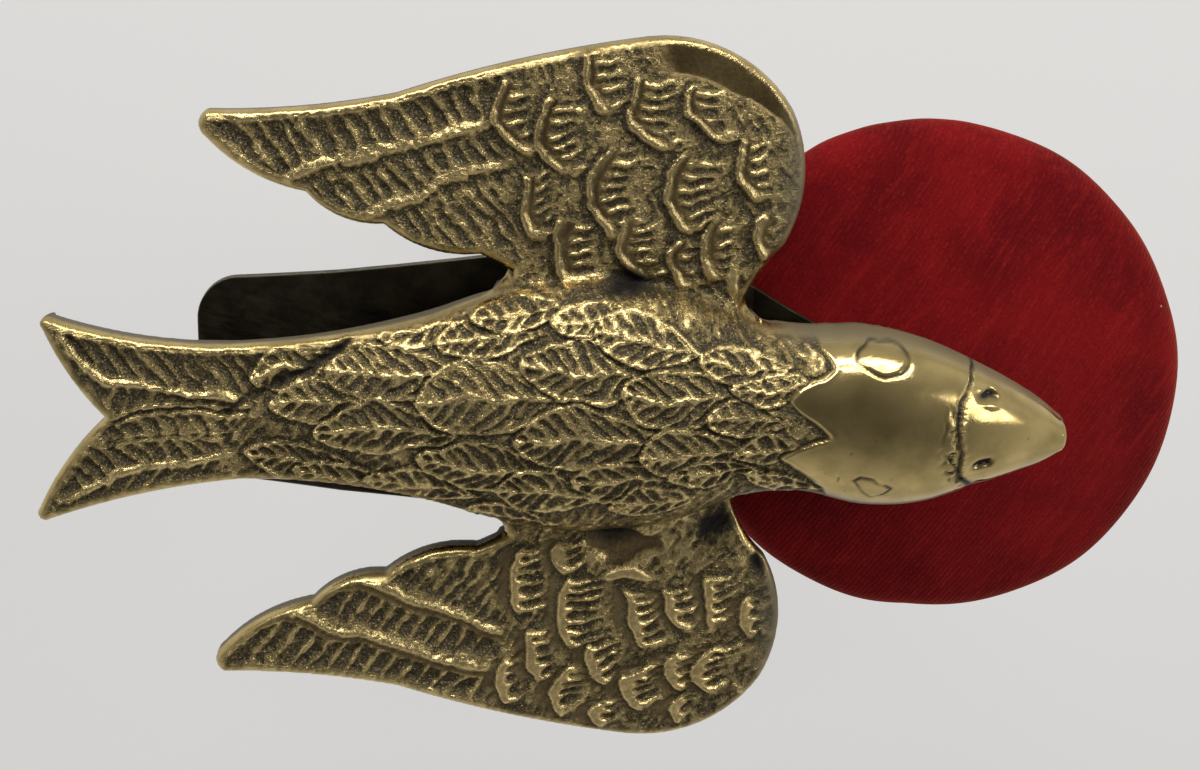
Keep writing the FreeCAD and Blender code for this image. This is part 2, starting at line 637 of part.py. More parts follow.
def tail_spring():
    """A compression coil: quarter turns of two arcs each, as one unbroken tube."""
    low = PLATE_TOP + SPRING_WIRE_RADIUS
    high = WING_Z + HOLLOW_ROOF - SPRING_WIRE_RADIUS - SEAT_GAP / 2
    rise = (high - low) / SPRING_TURNS
    edges = []
    for quarter in range(4 * SPRING_TURNS):
        start = helix_point(quarter / 4, low, rise)
        end = helix_point((quarter + 1) / 4, low, rise)
        leave = helix_heading(quarter / 4, rise)
        arrive = helix_heading((quarter + 1) / 4, rise)
        chord = end - start
        both = leave + arrive
        a = both.dot(both) - 4
        b = -2 * chord.dot(both)
        reach = (-b - math.sqrt(b * b - 4 * a * chord.dot(chord))) / (2 * a)
        near = start + leave * reach
        far = end - arrive * reach
        join = (near + far) * 0.5
        edges.append(arc_from_corner(start, near, join))
        edges.append(arc_from_corner(join, far, end))
    path = Part.Wire(edges)
    ring = Part.makeCircle(SPRING_WIRE_RADIUS, helix_point(0, low, rise), helix_heading(0, rise))
    section = Part.Wire(ring)
    tube = path.makePipeShell([section], True, False)
    print("tail spring: least gap between turns %.2f mm" % (rise - 2 * SPRING_WIRE_RADIUS))
    return tube.Solids[0]


def drawn_in(point):
    """A wing outline point moved in towards the wing's middle by the bevel's width."""
    x, y = point
    x_share = (x - WING_MIDDLE[0]) / WING_HALF_SPAN[0]
    y_share = (y - WING_MIDDLE[1]) / WING_HALF_SPAN[1]
    return (x - WING_EDGE_BEVEL * x_share, y - WING_EDGE_BEVEL * y_share)


def wing():
    """The left wing: a cast slab with a stepped trailing edge and a bevelled upper edge."""
    full = slab(outline(level(WING_Z - WING_BELOW), WING_ROOT, WING_OUTLINE),
                WING_BELOW + WING_ABOVE - WING_EDGE_BEVEL)
    inner = []
    for step in WING_OUTLINE:
        if isinstance(step[0], tuple):
            inner.append((drawn_in(step[0]), drawn_in(step[1])))
        else:
            inner.append(drawn_in(step))
    shoulder = WING_Z + WING_ABOVE - WING_EDGE_BEVEL
    bevel = Part.makeLoft([outline(level(shoulder), WING_ROOT, WING_OUTLINE),
                           outline(level(WING_Z + WING_ABOVE), drawn_in(WING_ROOT), inner)], True, True)
    return full.fuse(bevel)


def tail():
    """The forked tail: its left and right halves, side by side."""
    x, root_half = TAIL_ROOT
    halves = []
    for root_y, steps in ((root_half, TAIL_LEFT), (-root_half, TAIL_RIGHT)):
        edge = outline(level(WING_Z + TAIL_UNDERSIDE), (x, root_y), steps + [(x, TAIL_FORK_Y)])
        halves.append(slab(edge, TAIL_THICK))
    return halves[0].fuse(halves[1])


def trunk_section(x, middle, half_width, low, high):
    """A flat underside and a smooth back over it."""
    height = high - low
    ring = [(0.80, 0.0), (1.0, 0.40), (0.74, 0.80), (0.0, 1.0), (-0.74, 0.80), (-1.0, 0.40), (-0.80, 0.0)]
    points = [Vec(x, middle + half_width * a, WING_Z + low + height * b) for a, b in ring]
    back = Part.BSplineCurve()
    back.interpolate(points)
    return Part.Wire([back.toShape(), Part.makeLine(points[-1], points[0])])


def trunk():
    """Body, neck, head and beak as one smooth loft, closed by a small rounded tip."""
    body = Part.makeLoft([trunk_section(*row) for row in TRUNK], True, False)
    x, middle, half_width, low, high = TRUNK[-1]
    tip_end = trunk_section(BEAK_TIP_X, middle, half_width * BEAK_TIP_WIDTH_SHARE,
                            low + BEAK_TIP_RISE, high - BEAK_TIP_FALL)
    tip = Part.makeLoft([trunk_section(x, middle, half_width, low, high), tip_end], True, True)
    return body.fuse(tip)


def head_details(head):
    """Cuts the ring groove behind the beak and the sunk rims of the two eyes."""
    groove = Part.makeTorus(GROOVE_RADIUS, GROOVE,
                            Vec(GROOVE_X, GROOVE_MIDDLE_Y, WING_Z + GROOVE_HEIGHT), Vec(1, 0, 0))
    head = head.cut(groove)
    for side in (-1, 1):
        middle = Vec(EYE_X, HEAD_MIDDLE_Y + side * EYE_SIDE, WING_Z + EYE_HEIGHT)
        out = Vec(0, side * EYE_TILT[0], EYE_TILT[1])
        rim = Part.makeTorus(EYE_RADIUS, EYE_RIM, middle, out)
        head = head.cut(rim)
    return head


def body_feathers():
    """Leaf-shaped feathers on the back: upright leaves cut off by a slightly higher back."""
    leaves = []
    for tip, root, half_width in BODY_FEATHERS:
        x = (tip[0] + root[0]) / 2
        y = (tip[1] + root[1]) / 2
        leaf = outline(level(WING_Z + FEATHER_FOOT), tip,
                       [((x, y - half_width), root), ((x, y + half_width), tip)])
        leaves.append(slab(leaf, BIRD_LIFT * 2))
    raised = [trunk_section(x, middle, half_width, low, high + FEATHER_RISE)
              for x, middle, half_width, low, high in TRUNK]
    return Part.makeLoft(raised, True, False).common(Part.makeCompound(leaves)).Solids


def wing_shells():
    """Shell-shaped wing coverts in rows, each highest at its tail side and flush at its head side."""
    top = WING_Z + WING_ABOVE
    span = WING_MIDDLE[1] + WING_HALF_SPAN[1]
    shells = []
    for x, row in WING_SHELLS.items():
        ramp = outline(upright(0), (x, top - SHELL_RISE), [
            (x, top + SHELL_RISE),
            (x + SHELL_BOW + SHELL_REACH, top),
            (x + SHELL_BOW + SHELL_REACH, top - SHELL_RISE),
        ])
        ramp = Part.Face(ramp).extrude(Vec(0, span, 0))
        for y, half_height in row:
            shell = outline(level(top - SHELL_RISE), (x + SHELL_BOW, y - half_height), [
                ((x + SHELL_BOW + SHELL_REACH, y), (x + SHELL_BOW, y + half_height)),
                ((x, y), (x + SHELL_BOW, y - half_height)),
            ])
            shells += ramp.common(slab(shell, 2 * SHELL_RISE)).Solids
    return shells


def quill_groove(root, tip, top):
    """A straight groove between two points of a level surface, narrower at the tip."""
    half = QUILL_WIDTH / 2
    groove = outline(level(top - QUILL_DEPTH), (root[0], root[1] - half), [
        (root[0], root[1] + half),
        (tip[0], tip[1] + half / 2),
        (tip[0], tip[1] - half / 2),
    ])
    return slab(groove, 2 * QUILL_DEPTH)


def feather_grooves():
    """Grooves along the long feathers of both wings and of the tail."""
    grooves = [quill_groove(root, tip, WING_Z + WING_ABOVE) for root, tip in WING_QUILLS]
    tail_top = WING_Z + TAIL_UNDERSIDE + TAIL_THICK
    grooves += [quill_groove(root, tip, tail_top) for root, tip in TAIL_QUILLS]
    return grooves + [mirrored(groove) for groove in grooves[:-2] + grooves[-1:]]


def bird_casting():
    """The whole bird as one casting, hollow under the body, with two lugs for the hinge pin."""
    shells = wing_shells()
    bird = trunk().fuse([wing(), mirrored(wing()), tail()])
    bird = bird.fuse(body_feathers() + shells + [mirrored(shell) for shell in shells])
    bird = bird.cut(feather_grooves())
    bird = bird.cut(block(MOUTH_X, BEAK_TIP_X + 1, -EYE_SIDE, EYE_SIDE,
                          WING_Z - BIRD_LIFT, WING_Z + BEAK_UNDERSIDE))
    bird = head_details(bird)
    hollow = block(HOLLOW_REAR_X, HOLLOW_FRONT_X, -HOLLOW_HALF_WIDTH, HOLLOW_HALF_WIDTH,
                   WING_Z - 2 * BIRD_LIFT, WING_Z + HOLLOW_ROOF)
    bird = bird.cut(hollow)
    lug = crossbar(LUG_RADIUS, EAR_INSIDE - LUG_GAP, HINGE_X, HINGE_Z)
    lug = lug.fuse(block(HINGE_X - LUG_RADIUS, HINGE_X + LUG_RADIUS,
                         -EAR_INSIDE + LUG_GAP, EAR_INSIDE - LUG_GAP, HINGE_Z, WING_Z + HOLLOW_ROOF))
    inner = EAR_INSIDE - LUG_GAP - LUG_THICK
    lug = lug.cut(block(HINGE_X - BRACKET_LENGTH, HINGE_X + BRACKET_LENGTH,
                        -inner, inner, PLATE_TOP, WING_Z + HOLLOW_ROOF))
    bird = bird.fuse(lug)
    bird = bird.cut(crossbar(HINGE_PIN_RADIUS + RUNNING_GAP, EAR_INSIDE, HINGE_X, HINGE_Z))
    pin_way = Part.makeCylinder(PIN_HEAD_RADIUS + SEAT_GAP, PIN_WAY_LENGTH,
                                Vec(HINGE_X, EAR_OUTSIDE, HINGE_Z), SIDEWAYS)
    return one_solid(bird.cut(pin_way))


def side_point(inset, degrees):
    """A point on the round side of the cushion, or of a surface parallel to it."""
    angle = math.radians(degrees)
    reach = CUSHION_SIDE_RADIUS - inset
    middle = CUSHION_RADIUS - CUSHION_SIDE_RADIUS
    return (middle + reach * math.cos(angle), CUSHION_Z + reach * math.sin(angle))


def under_middle(foot, side):
    """The middle of the shallow arc between the cushion's foot and its side."""
    run = side[0] - foot[0]
    rise = side[1] - foot[1]
    length = math.hypot(run, rise)
    return ((foot[0] + side[0]) / 2 + CUSHION_UNDER_SAG * rise / length,
            (foot[1] + side[1]) / 2 - CUSHION_UNDER_SAG * run / length)


def cushion_body(inset):
    """The stuffed form: a low crown, round sides, drawn in to the card under it."""
    low = CARD_Z + SOFT_GAP + inset
    top = CUSHION_Z + CUSHION_CROWN - inset
    foot = (CUSHION_FOOT_RADIUS - inset, low)
    under = side_point(inset, -CUSHION_UNDER_TURN)
    over = side_point(inset, CUSHION_OVER_TURN)
    return turned((0, low), [
        foot,
        (under_middle(foot, under), under),
        (side_point(inset, 0), over),
        (dome_middle(over[0], over[1], top), (0, top)),
    ], CUSHION_X, CUSHION_Y)


def cushion_stuffing():
    """The bran stuffing, with a pocket for the nut on its card."""
    body = cushion_body(VELVET_THICK + STUFFING_GAP)
    floor = CARD_Z + CARD_THICK + SOFT_GAP
    body = body.cut(rod(CUSHION_RADIUS, CARD_Z, floor, CUSHION_X, CUSHION_Y))
    pocket = rod(NUT_SIZE / math.sqrt(2) + SEAT_GAP, CARD_Z,
                 floor + NUT_THICK + NUT_POCKET, CUSHION_X, CUSHION_Y)
    return one_solid(body.cut(pocket))


def cushion_velvet():
    """The velvet skin, open underneath where it is glued to the card's edge."""
    skin = cushion_body(0.0).cut(cushion_body(VELVET_THICK))
    opening = rod(CARD_RADIUS + SOFT_GAP, CARD_Z - 1,
                  CARD_Z + CARD_THICK + 2 * SOFT_GAP, CUSHION_X, CUSHION_Y)
    return one_solid(skin.cut(opening))


def cushion_card():
    """The card disc that the velvet is drawn over."""
    card = rod(CARD_RADIUS, CARD_Z, CARD_Z + CARD_THICK, CUSHION_X, CUSHION_Y)
    return card.cut(rod(CUP_SCREW_RADIUS + SCREW_GAP, CARD_Z - 1, CARD_Z + CARD_THICK + 1,
                        CUSHION_X, CUSHION_Y))


def cup_nut():
    """A square brass nut on the card."""
    half = NUT_SIZE / 2
    low = CARD_Z + CARD_THICK
    nut = block(CUSHION_X - half, CUSHION_X + half,
                CUSHION_Y - half, CUSHION_Y + half, low, low + NUT_THICK)
    return nut.cut(rod(CUP_SCREW_RADIUS + SCREW_GAP, low - 1, low + NUT_THICK + 1,
                       CUSHION_X, CUSHION_Y))


def cushion_cup():
    """The spun brass cup: a flat floor, a shallow side and a beaded rim under the cushion's edge."""
    foot_in = (CUSHION_FOOT_RADIUS + SOFT_GAP, CARD_Z)
    foot_out = (CUSHION_FOOT_RADIUS + SOFT_GAP, CUP_Z)
    rim_in = side_point(-SOFT_GAP, -CUSHION_UNDER_TURN)
    rim_out = side_point(-SOFT_GAP - CUP_THICK, -CUSHION_UNDER_TURN)
    cup = turned((0, CUP_Z), [
        foot_out,
        (under_middle(foot_out, rim_out), rim_out),
        rim_in,
        (under_middle(foot_in, rim_in), foot_in),
        (0, CARD_Z),
    ], CUSHION_X, CUSHION_Y)
    bead = Part.makeTorus(rim_out[0], CUP_BEAD, Vec(CUSHION_X, CUSHION_Y, rim_out[1]), UP)
    cup = cup.fuse(bead.cut(cushion_body(-SOFT_GAP)))
    cup = cup.cut(rod(CUP_SCREW_RADIUS + SCREW_GAP, CUP_Z - 1, CARD_Z + 1, CUSHION_X, CUSHION_Y))
    return one_solid(cup)


def cup_stem():
    """The turned collar between arm and cup."""
    stem = turned((CUP_SCREW_RADIUS + SCREW_GAP, PEDESTAL_Z), [
        (STEM_RADIUS, PEDESTAL_Z),
        ((STEM_WAIST, (PEDESTAL_Z + CUP_Z) / 2), (STEM_RADIUS, CUP_Z)),
        (CUP_SCREW_RADIUS + SCREW_GAP, CUP_Z),
    ], CUSHION_X, CUSHION_Y)
    return stem


def cup_screw():
    """The slotted screw from under the arm up into the nut on the card."""
    low = ARM_Z - CUP_SCREW_HEAD
    end = CARD_Z + CARD_THICK + NUT_THICK + CUP_SCREW_PROUD
    body = turned((0, low), [
        (dome_middle(CUP_SCREW_HEAD_RADIUS, ARM_Z, low), (CUP_SCREW_HEAD_RADIUS, ARM_Z)),
        (CUP_SCREW_RADIUS, ARM_Z),
        (CUP_SCREW_RADIUS, end),
        (0, end),
    ], CUSHION_X, CUSHION_Y)
    slot = block(CUSHION_X - CUP_SCREW_HEAD_RADIUS, CUSHION_X + CUP_SCREW_HEAD_RADIUS,
                 CUSHION_Y - SLOT_WIDTH / 2, CUSHION_Y + SLOT_WIDTH / 2, low, low + SLOT_DEPTH)
    return one_solid(body.cut(slot))


def clamp_screw():
    """The screw: a ball for the pad, a neck, the threaded shank and a plain end in the thumb wing."""
    shoulder = PAD_BOTTOM - RETAINER_THICK - BALL_NECK
    ball = Part.makeSphere(BALL_RADIUS, Vec(0, 0, BALL_Z))
    neck = rod(BALL_NECK_RADIUS, shoulder - SCREW_CHAMFER, BALL_Z)
    shank = turned((0, COLLAR_BOTTOM), [
        (SCREW_RADIUS, COLLAR_BOTTOM),
        (SCREW_RADIUS, shoulder - SCREW_CHAMFER),
        (SCREW_RADIUS - SCREW_CHAMFER, shoulder),
        (0, shoulder),
    ])
    screw = shank.fuse([neck, ball])
    return one_solid(screw.cut(crossbar(CROSS_PIN_RADIUS + SCREW_GAP, 2 * COLLAR_RADIUS, 0, CROSS_PIN_Z)))


def thumb_wing():
    """A collar on the screw's end and a flat two-lobed wing for finger and thumb."""
    mid = COLLAR_BOTTOM - THUMB_HEIGHT / 2 + THUMB_OVERLAP
    top = COLLAR_BOTTOM + THUMB_OVERLAP
    low = top - THUMB_HEIGHT
    shoulder_x, shoulder_down = THUMB_SHOULDER
    wing_side = outline(upright(-THUMB_THICK / 2), (-COLLAR_RADIUS, top), [
        ((-shoulder_x, top - shoulder_down), (-THUMB_REACH, mid)),
        ((-THUMB_LOBE_X, low), (0, low + THUMB_DIP)),
        ((THUMB_LOBE_X, low), (THUMB_REACH, mid)),
        ((shoulder_x, top - shoulder_down), (COLLAR_RADIUS, top)),
    ])
    blade = Part.Face(wing_side).extrude(Vec(0, THUMB_THICK, 0))
    collar = rod(COLLAR_RADIUS, COLLAR_BOTTOM - THUMB_COLLAR_END, COLLAR_TOP)
    body = blade.fuse(collar)
    body = body.cut(rod(SCREW_RADIUS + SCREW_GAP, COLLAR_BOTTOM, COLLAR_TOP + 1))
    body = body.cut(crossbar(CROSS_PIN_RADIUS + SCREW_GAP, 2 * COLLAR_RADIUS, 0, CROSS_PIN_Z))
    return one_solid(body)


def thumb_pin():
    """The cross pin that locks the thumb wing to the screw, filed flush with the collar."""
    pin = crossbar(CROSS_PIN_RADIUS, 2 * COLLAR_RADIUS, 0, CROSS_PIN_Z)
    return one_solid(pin.common(rod(COLLAR_RADIUS, COLLAR_BOTTOM, COLLAR_TOP)))


def clamp_pad():
    """The swivel pad: a round foot for the table's underside, with a socket for the ball."""
    top = -TABLE_GAP
    under_hub, under_rim = PAD_UNDERCUT
    pad = turned((0, PAD_BOTTOM), [
        (PAD_HUB_RADIUS, PAD_BOTTOM),
        (PAD_HUB_RADIUS, top - PAD_EDGE - under_hub),
        (PAD_RADIUS - PAD_CHAMFER, top - PAD_EDGE),
        (PAD_RADIUS, top - PAD_EDGE + under_rim),
        (PAD_RADIUS, top - PAD_CHAMFER),
        (PAD_RADIUS - PAD_CHAMFER, top),
        (0, top),
    ])
    socket = rod(BALL_RADIUS + RUNNING_GAP, PAD_BOTTOM - 1, BALL_Z)
    socket = socket.fuse(Part.makeSphere(BALL_RADIUS + RUNNING_GAP, Vec(0, 0, BALL_Z)))
    return one_solid(pad.cut(socket))


def pad_retainer():
    """The ring riveted under the pad that keeps the ball in its socket."""
    ring = rod(PAD_HUB_RADIUS, PAD_BOTTOM - RETAINER_THICK, PAD_BOTTOM)
    return ring.cut(rod(BALL_NECK_RADIUS + RUNNING_GAP, PAD_BOTTOM - 2, PAD_BOTTOM + 1))


PARTS = {
    "bird_casting": bird_casting,
    "jaw_plate": jaw_plate,
    "hinge_bracket": hinge_bracket,
    "hinge_pin": hinge_pin,
    "bracket_rivets": bracket_rivets,
    "spring_post": spring_post,
    "tail_spring": tail_spring,
    "pedestal": pedestal,
    "pedestal_screw": pedestal_screw,
    "cushion_arm": cushion_arm,
    "arm_screw": arm_screw,
    "cup_stem": cup_stem,
    "cushion_cup": cushion_cup,
    "cup_screw": cup_screw,
    "cup_nut": cup_nut,
    "cushion_card": cushion_card,
    "cushion_stuffing": cushion_stuffing,
    "cushion_velvet": cushion_velvet,
    "clamp_frame": clamp_frame,
    "clamp_screw": clamp_screw,
    "thumb_wing": thumb_wing,
    "thumb_pin": thumb_pin,
    "clamp_pad": clamp_pad,
    "pad_retainer": pad_retainer,
}

os.makedirs("parts", exist_ok=True)
for name, make in PARTS.items():
    shape = make()
    shape.exportStep("parts/%s.step" % name)
    box = shape.BoundBox
    print("%-18s valid %s  solids %d  volume %8.1f  x %.1f..%.1f  y %.1f..%.1f  z %.1f..%.1f" % (
        name, shape.isValid(), len(shape.Solids), shape.Volume,
        box.XMin, box.XMax, box.YMin, box.YMax, box.ZMin, box.ZMax))
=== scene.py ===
import math

import bmesh
import bpy
import numpy as np
from mathutils import Matrix, Vector
from mathutils.geometry import delaunay_2d_cdt


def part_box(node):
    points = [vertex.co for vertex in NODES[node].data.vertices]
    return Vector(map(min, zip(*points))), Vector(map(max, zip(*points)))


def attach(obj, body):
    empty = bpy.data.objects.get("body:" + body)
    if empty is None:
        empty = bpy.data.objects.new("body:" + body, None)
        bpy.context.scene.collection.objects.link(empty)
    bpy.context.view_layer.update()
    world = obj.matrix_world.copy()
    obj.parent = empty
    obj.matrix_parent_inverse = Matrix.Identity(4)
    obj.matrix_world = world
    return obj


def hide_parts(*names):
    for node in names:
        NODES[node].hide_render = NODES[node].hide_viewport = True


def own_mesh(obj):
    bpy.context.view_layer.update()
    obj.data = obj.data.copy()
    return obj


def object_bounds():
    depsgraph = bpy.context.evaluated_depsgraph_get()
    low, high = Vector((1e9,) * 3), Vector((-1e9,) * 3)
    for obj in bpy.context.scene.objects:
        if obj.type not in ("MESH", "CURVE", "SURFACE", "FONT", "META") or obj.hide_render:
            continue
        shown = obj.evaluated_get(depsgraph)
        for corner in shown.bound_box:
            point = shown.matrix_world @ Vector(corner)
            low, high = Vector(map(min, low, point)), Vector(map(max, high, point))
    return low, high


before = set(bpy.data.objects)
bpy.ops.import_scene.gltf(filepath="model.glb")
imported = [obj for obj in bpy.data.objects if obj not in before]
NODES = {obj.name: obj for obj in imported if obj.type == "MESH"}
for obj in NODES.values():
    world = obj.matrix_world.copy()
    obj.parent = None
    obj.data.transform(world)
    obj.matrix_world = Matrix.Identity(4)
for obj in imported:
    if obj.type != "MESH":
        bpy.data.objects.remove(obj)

# Sewing bird: a cast brass bird on a table clamp, over a round red velvet pincushion.
# Lengths are millimetres until a mesh is made, and heights on the bird count from its wing plane.

CAD_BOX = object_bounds()
MM = 0.001


def node_box(name):
    """A node's lowest and highest corners in millimetres."""
    low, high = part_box(name)
    return low / MM, high / MM


PIN_LOW, PIN_HIGH = node_box("hinge_pin")
EARS_HIGH = node_box("hinge_bracket")[1]
SPRING_LOW, SPRING_HIGH = node_box("tail_spring")
CUSHION_LOW, CUSHION_HIGH = node_box("cushion_velvet")
SCREW_LOW, SCREW_HIGH = node_box("clamp_screw")

# Camera and lights
CAMERA_PLACE = (-15.52, 49.56, 198.83)
CAMERA_RIGHT = (0.99602932, 0.02917416, 0.08410984)
CAMERA_UP = (-0.00484094, 0.96113126, -0.27604941)
CAMERA_BACK = (-0.08889411, 0.27454613, 0.95745614)
CAMERA_LENS = 52.79
SENSOR_WIDTH = 36.0
LIGHT_AIM = (0.005, 0, 0.03)
FLOOR_GAP = 0.4
FLOOR_HALF = 3.0

# Bird: heights above the wing plane, and the grid that carries its relief
WING_PLANE = 31.7
GRID_STEP = 0.18
WING_TOP = 2.0
WING_UNDER = -1.8
TAIL_TOP = 4.5
TAIL_UNDER = 0.5
EDGE_ROUND = 0.9
UNDER_ROUND = 0.5
HOLLOW_ROOF = 2.2
HOLLOW_HALF_WIDTH = 5.5
HOLLOW_FRONT_X = 8.0
HOLLOW_REAR_X = -24.6
MOUTH_X = 36.0
MOUTH_ROOF = 1.4
LUG_THICK = 1.5
LUG_GAP = 0.2
LUG_RADIUS = 1.7
LUG_INTO_ROOF = 0.6
EAR_THICK = 1.2
PIN_RADIUS = 1.1
PIN_GAP = 0.06
ARMPIT_FILLET = 3.0
BARB_SPACING = 1.55
GRIT = 0.13
TRUNK_WING_FILLET = 1.6
SIDE_RINGS = 7
SIDE_INSET_LIMIT = 1.6
UNDER_SPACING = 1.1
UNDER_MARGIN = 2.2

# Wing outline: distance from the mirror plane against x, from the front root round the tip
WING_ROOT = (12.6, 6.0)
WING_OUTLINE = [
    ((14.4, 12.2), (17.4, 16.2)),
    ((19.1, 22.6), (17.5, 29.4)),
    ((12.5, 34.1), (3.6, 35.8)),
    ((-8.0, 33.6), (-20.0, 30.1)),
    ((-29.0, 28.7), (-37.4, 28.3)),
    ((-38.2, 27.2), (-37.6, 25.8)),
    ((-33.4, 22.5), (-28.5, 20.8)),
    ((-25.6, 18.6), (-21.2, 17.8)),
    ((-18.2, 15.9), (-12.0, 15.0)),
    (-9.0, 13.6),
    (-9.0, 6.0),
]

# Tail outline: each fork from its root round its tip to the middle of the fork
TAIL_ROOT = (-12.0, 10.6)
TAIL_FORK_Y = -0.8
TAIL_LEFT = [
    ((-23.0, 7.8), (-35.0, 6.5)),
    ((-44.3, 7.0), (-52.2, 8.9)),
    ((-53.0, 8.7), (-52.9, 7.9)),
    ((-50.8, 3.6), (-47.5, TAIL_FORK_Y)),
]
TAIL_RIGHT = [
    ((-23.0, -7.8), (-35.0, -6.9)),
    ((-44.3, -8.4), (-53.2, -11.0)),
    ((-54.2, -10.8), (-54.1, -9.9)),
    ((-51.2, -4.9), (-47.5, TAIL_FORK_Y)),
]

# Trunk: x, middle y, half width, underside and top
TRUNK = np.array([
    (-36.0, 0.0, 6.2, 0.6, 4.6),
    (-26.0, 0.0, 7.3, -0.5, 5.8),
    (-18.0, 0.0, 9.0, -1.8, 7.2),
    (-10.0, 0.0, 11.6, -2.8, 8.4),
    (0.0, 0.0, 12.8, -3.0, 9.2),
    (8.0, 0.0, 11.4, -3.0, 9.5),
    (14.0, 0.2, 9.0, -2.8, 9.5),
    (19.5, 0.3, 8.4, -2.0, 9.9),
    (26.0, -0.1, 9.0, -1.0, 11.2),
    (31.5, -0.5, 8.2, 0.2, 10.8),
    (36.5, -0.7, 6.3, 1.4, 9.8),
    (41.0, -1.3, 4.5, 1.4, 8.2),
    (44.2, -1.9, 3.0, 1.4, 6.5),
    (45.6, -2.1, 2.0, 1.4, 5.9),
])
TRUNK_WIDEST = 0.4
TRUNK_FOOT = 0.2
BEAK_TIP_LENGTH = 0.8

# Body feathers: tip, root and half width of each leaf, tail end first
BODY_FEATHERS = [
    ((-34.0, 3.6), (-24.5, 5.4), 1.9),
    ((-34.6, -3.9), (-24.0, -4.6), 2.1),
    ((-31.9, 1.2), (-21.0, 1.5), 2.3),
    ((-30.0, -5.6), (-19.0, -7.0), 1.8),
    ((-27.8, -1.4), (-14.0, -1.1), 2.6),
    ((-26.8, 4.5), (-14.0, 5.0), 2.8),
    ((-23.0, -6.6), (-12.0, -8.4), 2.0),
    ((-22.0, 8.0), (-11.0, 10.2), 1.8),
    ((-18.5, 1.8), (-3.6, 2.4), 3.5),
    ((-18.2, -4.0), (-4.4, -4.7), 2.7),
    ((-16.4, 7.2), (-6.0, 8.6), 2.0),
    ((-13.0, 10.0), (-4.0, 11.2), 1.7),
    ((-11.0, -7.2), (-0.5, -7.6), 2.3),
    ((-13.0, -10.0), (-4.5, -10.8), 1.6),
    ((-9.0, -1.7), (5.6, -1.4), 3.2),
    ((-8.2, 5.6), (5.4, 5.4), 3.0),
    ((-5.8, 9.6), (3.4, 9.8), 1.8),
    ((-3.0, -5.6), (6.8, -5.0), 2.2),
    ((-1.4, 8.8), (9.0, 7.0), 2.3),
    ((1.1, 3.2), (13.0, 3.0), 3.2),
    ((0.6, -8.8), (9.0, -7.4), 1.9),
    ((2.7, -2.8), (13.4, -1.6), 2.4),
    ((6.0, -5.4), (15.0, -4.2), 1.7),
    ((8.4, 6.4), (17.4, 5.6), 1.8),
    ((9.4, 0.8), (18.0, 0.6), 1.8),
    ((11.4, 3.6), (19.0, 4.4), 1.5),
    ((12.2, -2.4), (19.4, -1.8), 1.4),
    ((13.6, -5.0), (21.0, -6.8), 1.3),
]

# Wing coverts: top, middle and bottom of each shell's free edge, and how far the shell reaches
LEFT_COVERTS = [
    ((-10.4, 31.7), (-10.9, 28.8), (-7.7, 25.0), 3.8),
    ((-8.1, 23.4), (-8.5, 20.4), (-7.3, 16.3), 3.6),
    ((-5.6, 30.5), (-6.9, 26.5), (-3.9, 22.6), 4.4),
    ((-3.2, 34.4), (-3.0, 31.6), (-0.6, 29.0), 4.4),
    ((-4.5, 18.5), (-5.0, 15.9), (-3.8, 12.4), 4.4),
    ((0.1, 25.6), (-2.2, 21.2), (0.6, 16.6), 5.0),
    ((1.9, 32.4), (1.7, 28.4), (4.8, 25.2), 4.8),
    ((1.3, 19.2), (1.1, 16.4), (3.0, 12.5), 4.4),
    ((7.1, 25.3), (5.6, 21.0), (7.9, 17.6), 5.0),
    ((7.9, 31.6), (6.9, 28.8), (11.2, 26.4), 4.0),
    ((7.2, 17.0), (6.0, 14.6), (7.0, 12.0), 3.0),
    ((10.5, 18.7), (9.0, 15.8), (10.0, 12.3), 3.8),
    ((12.5, 26.8), (11.9, 23.6), (14.0, 20.4), 3.8),
    ((14.7, 19.4), (14.2, 17.0), (15.0, 14.8), 2.2),
]
RIGHT_COVERTS = [
    ((-9.4, -27.0), (-10.2, -29.4), (-9.0, -31.8), 3.0),
    ((-7.6, -15.0), (-8.6, -18.4), (-7.4, -22.0), 3.8),
    ((-6.7, -23.6), (-7.1, -26.6), (-6.0, -29.3), 3.6),
    ((-3.4, -14.0), (-4.2, -15.6), (-3.2, -17.4), 3.4),
    ((-2.9, -17.4), (-3.7, -21.4), (-2.7, -25.9), 4.8),
    ((-2.6, -27.7), (-4.7, -30.6), (-3.1, -33.3), 4.2),
    ((-0.4, -25.0), (-0.9, -27.4), (1.6, -29.8), 4.2),
    ((2.8, -19.2), (3.0, -22.3), (5.7, -26.0), 4.4),
    ((1.5, -31.5), (-0.4, -33.0), (1.0, -34.6), 3.6),
    ((5.8, -27.2), (2.5, -30.2), (4.9, -32.9), 4.6),
    ((6.3, -19.0), (7.0, -21.4), (9.2, -23.9), 4.0),
    ((8.9, -25.6), (7.1, -28.4), (8.9, -30.8), 4.0),
    ((9.4, -31.0), (7.7, -32.6), (9.0, -34.0), 3.0),
    ((11.3, -17.6), (11.1, -20.4), (11.9, -23.4), 3.6),
    ((13.1, -25.4), (10.2, -28.6), (12.5, -31.2), 3.8),
    ((15.4, -20.4), (14.8, -22.4), (15.8, -24.6), 2.4),
]

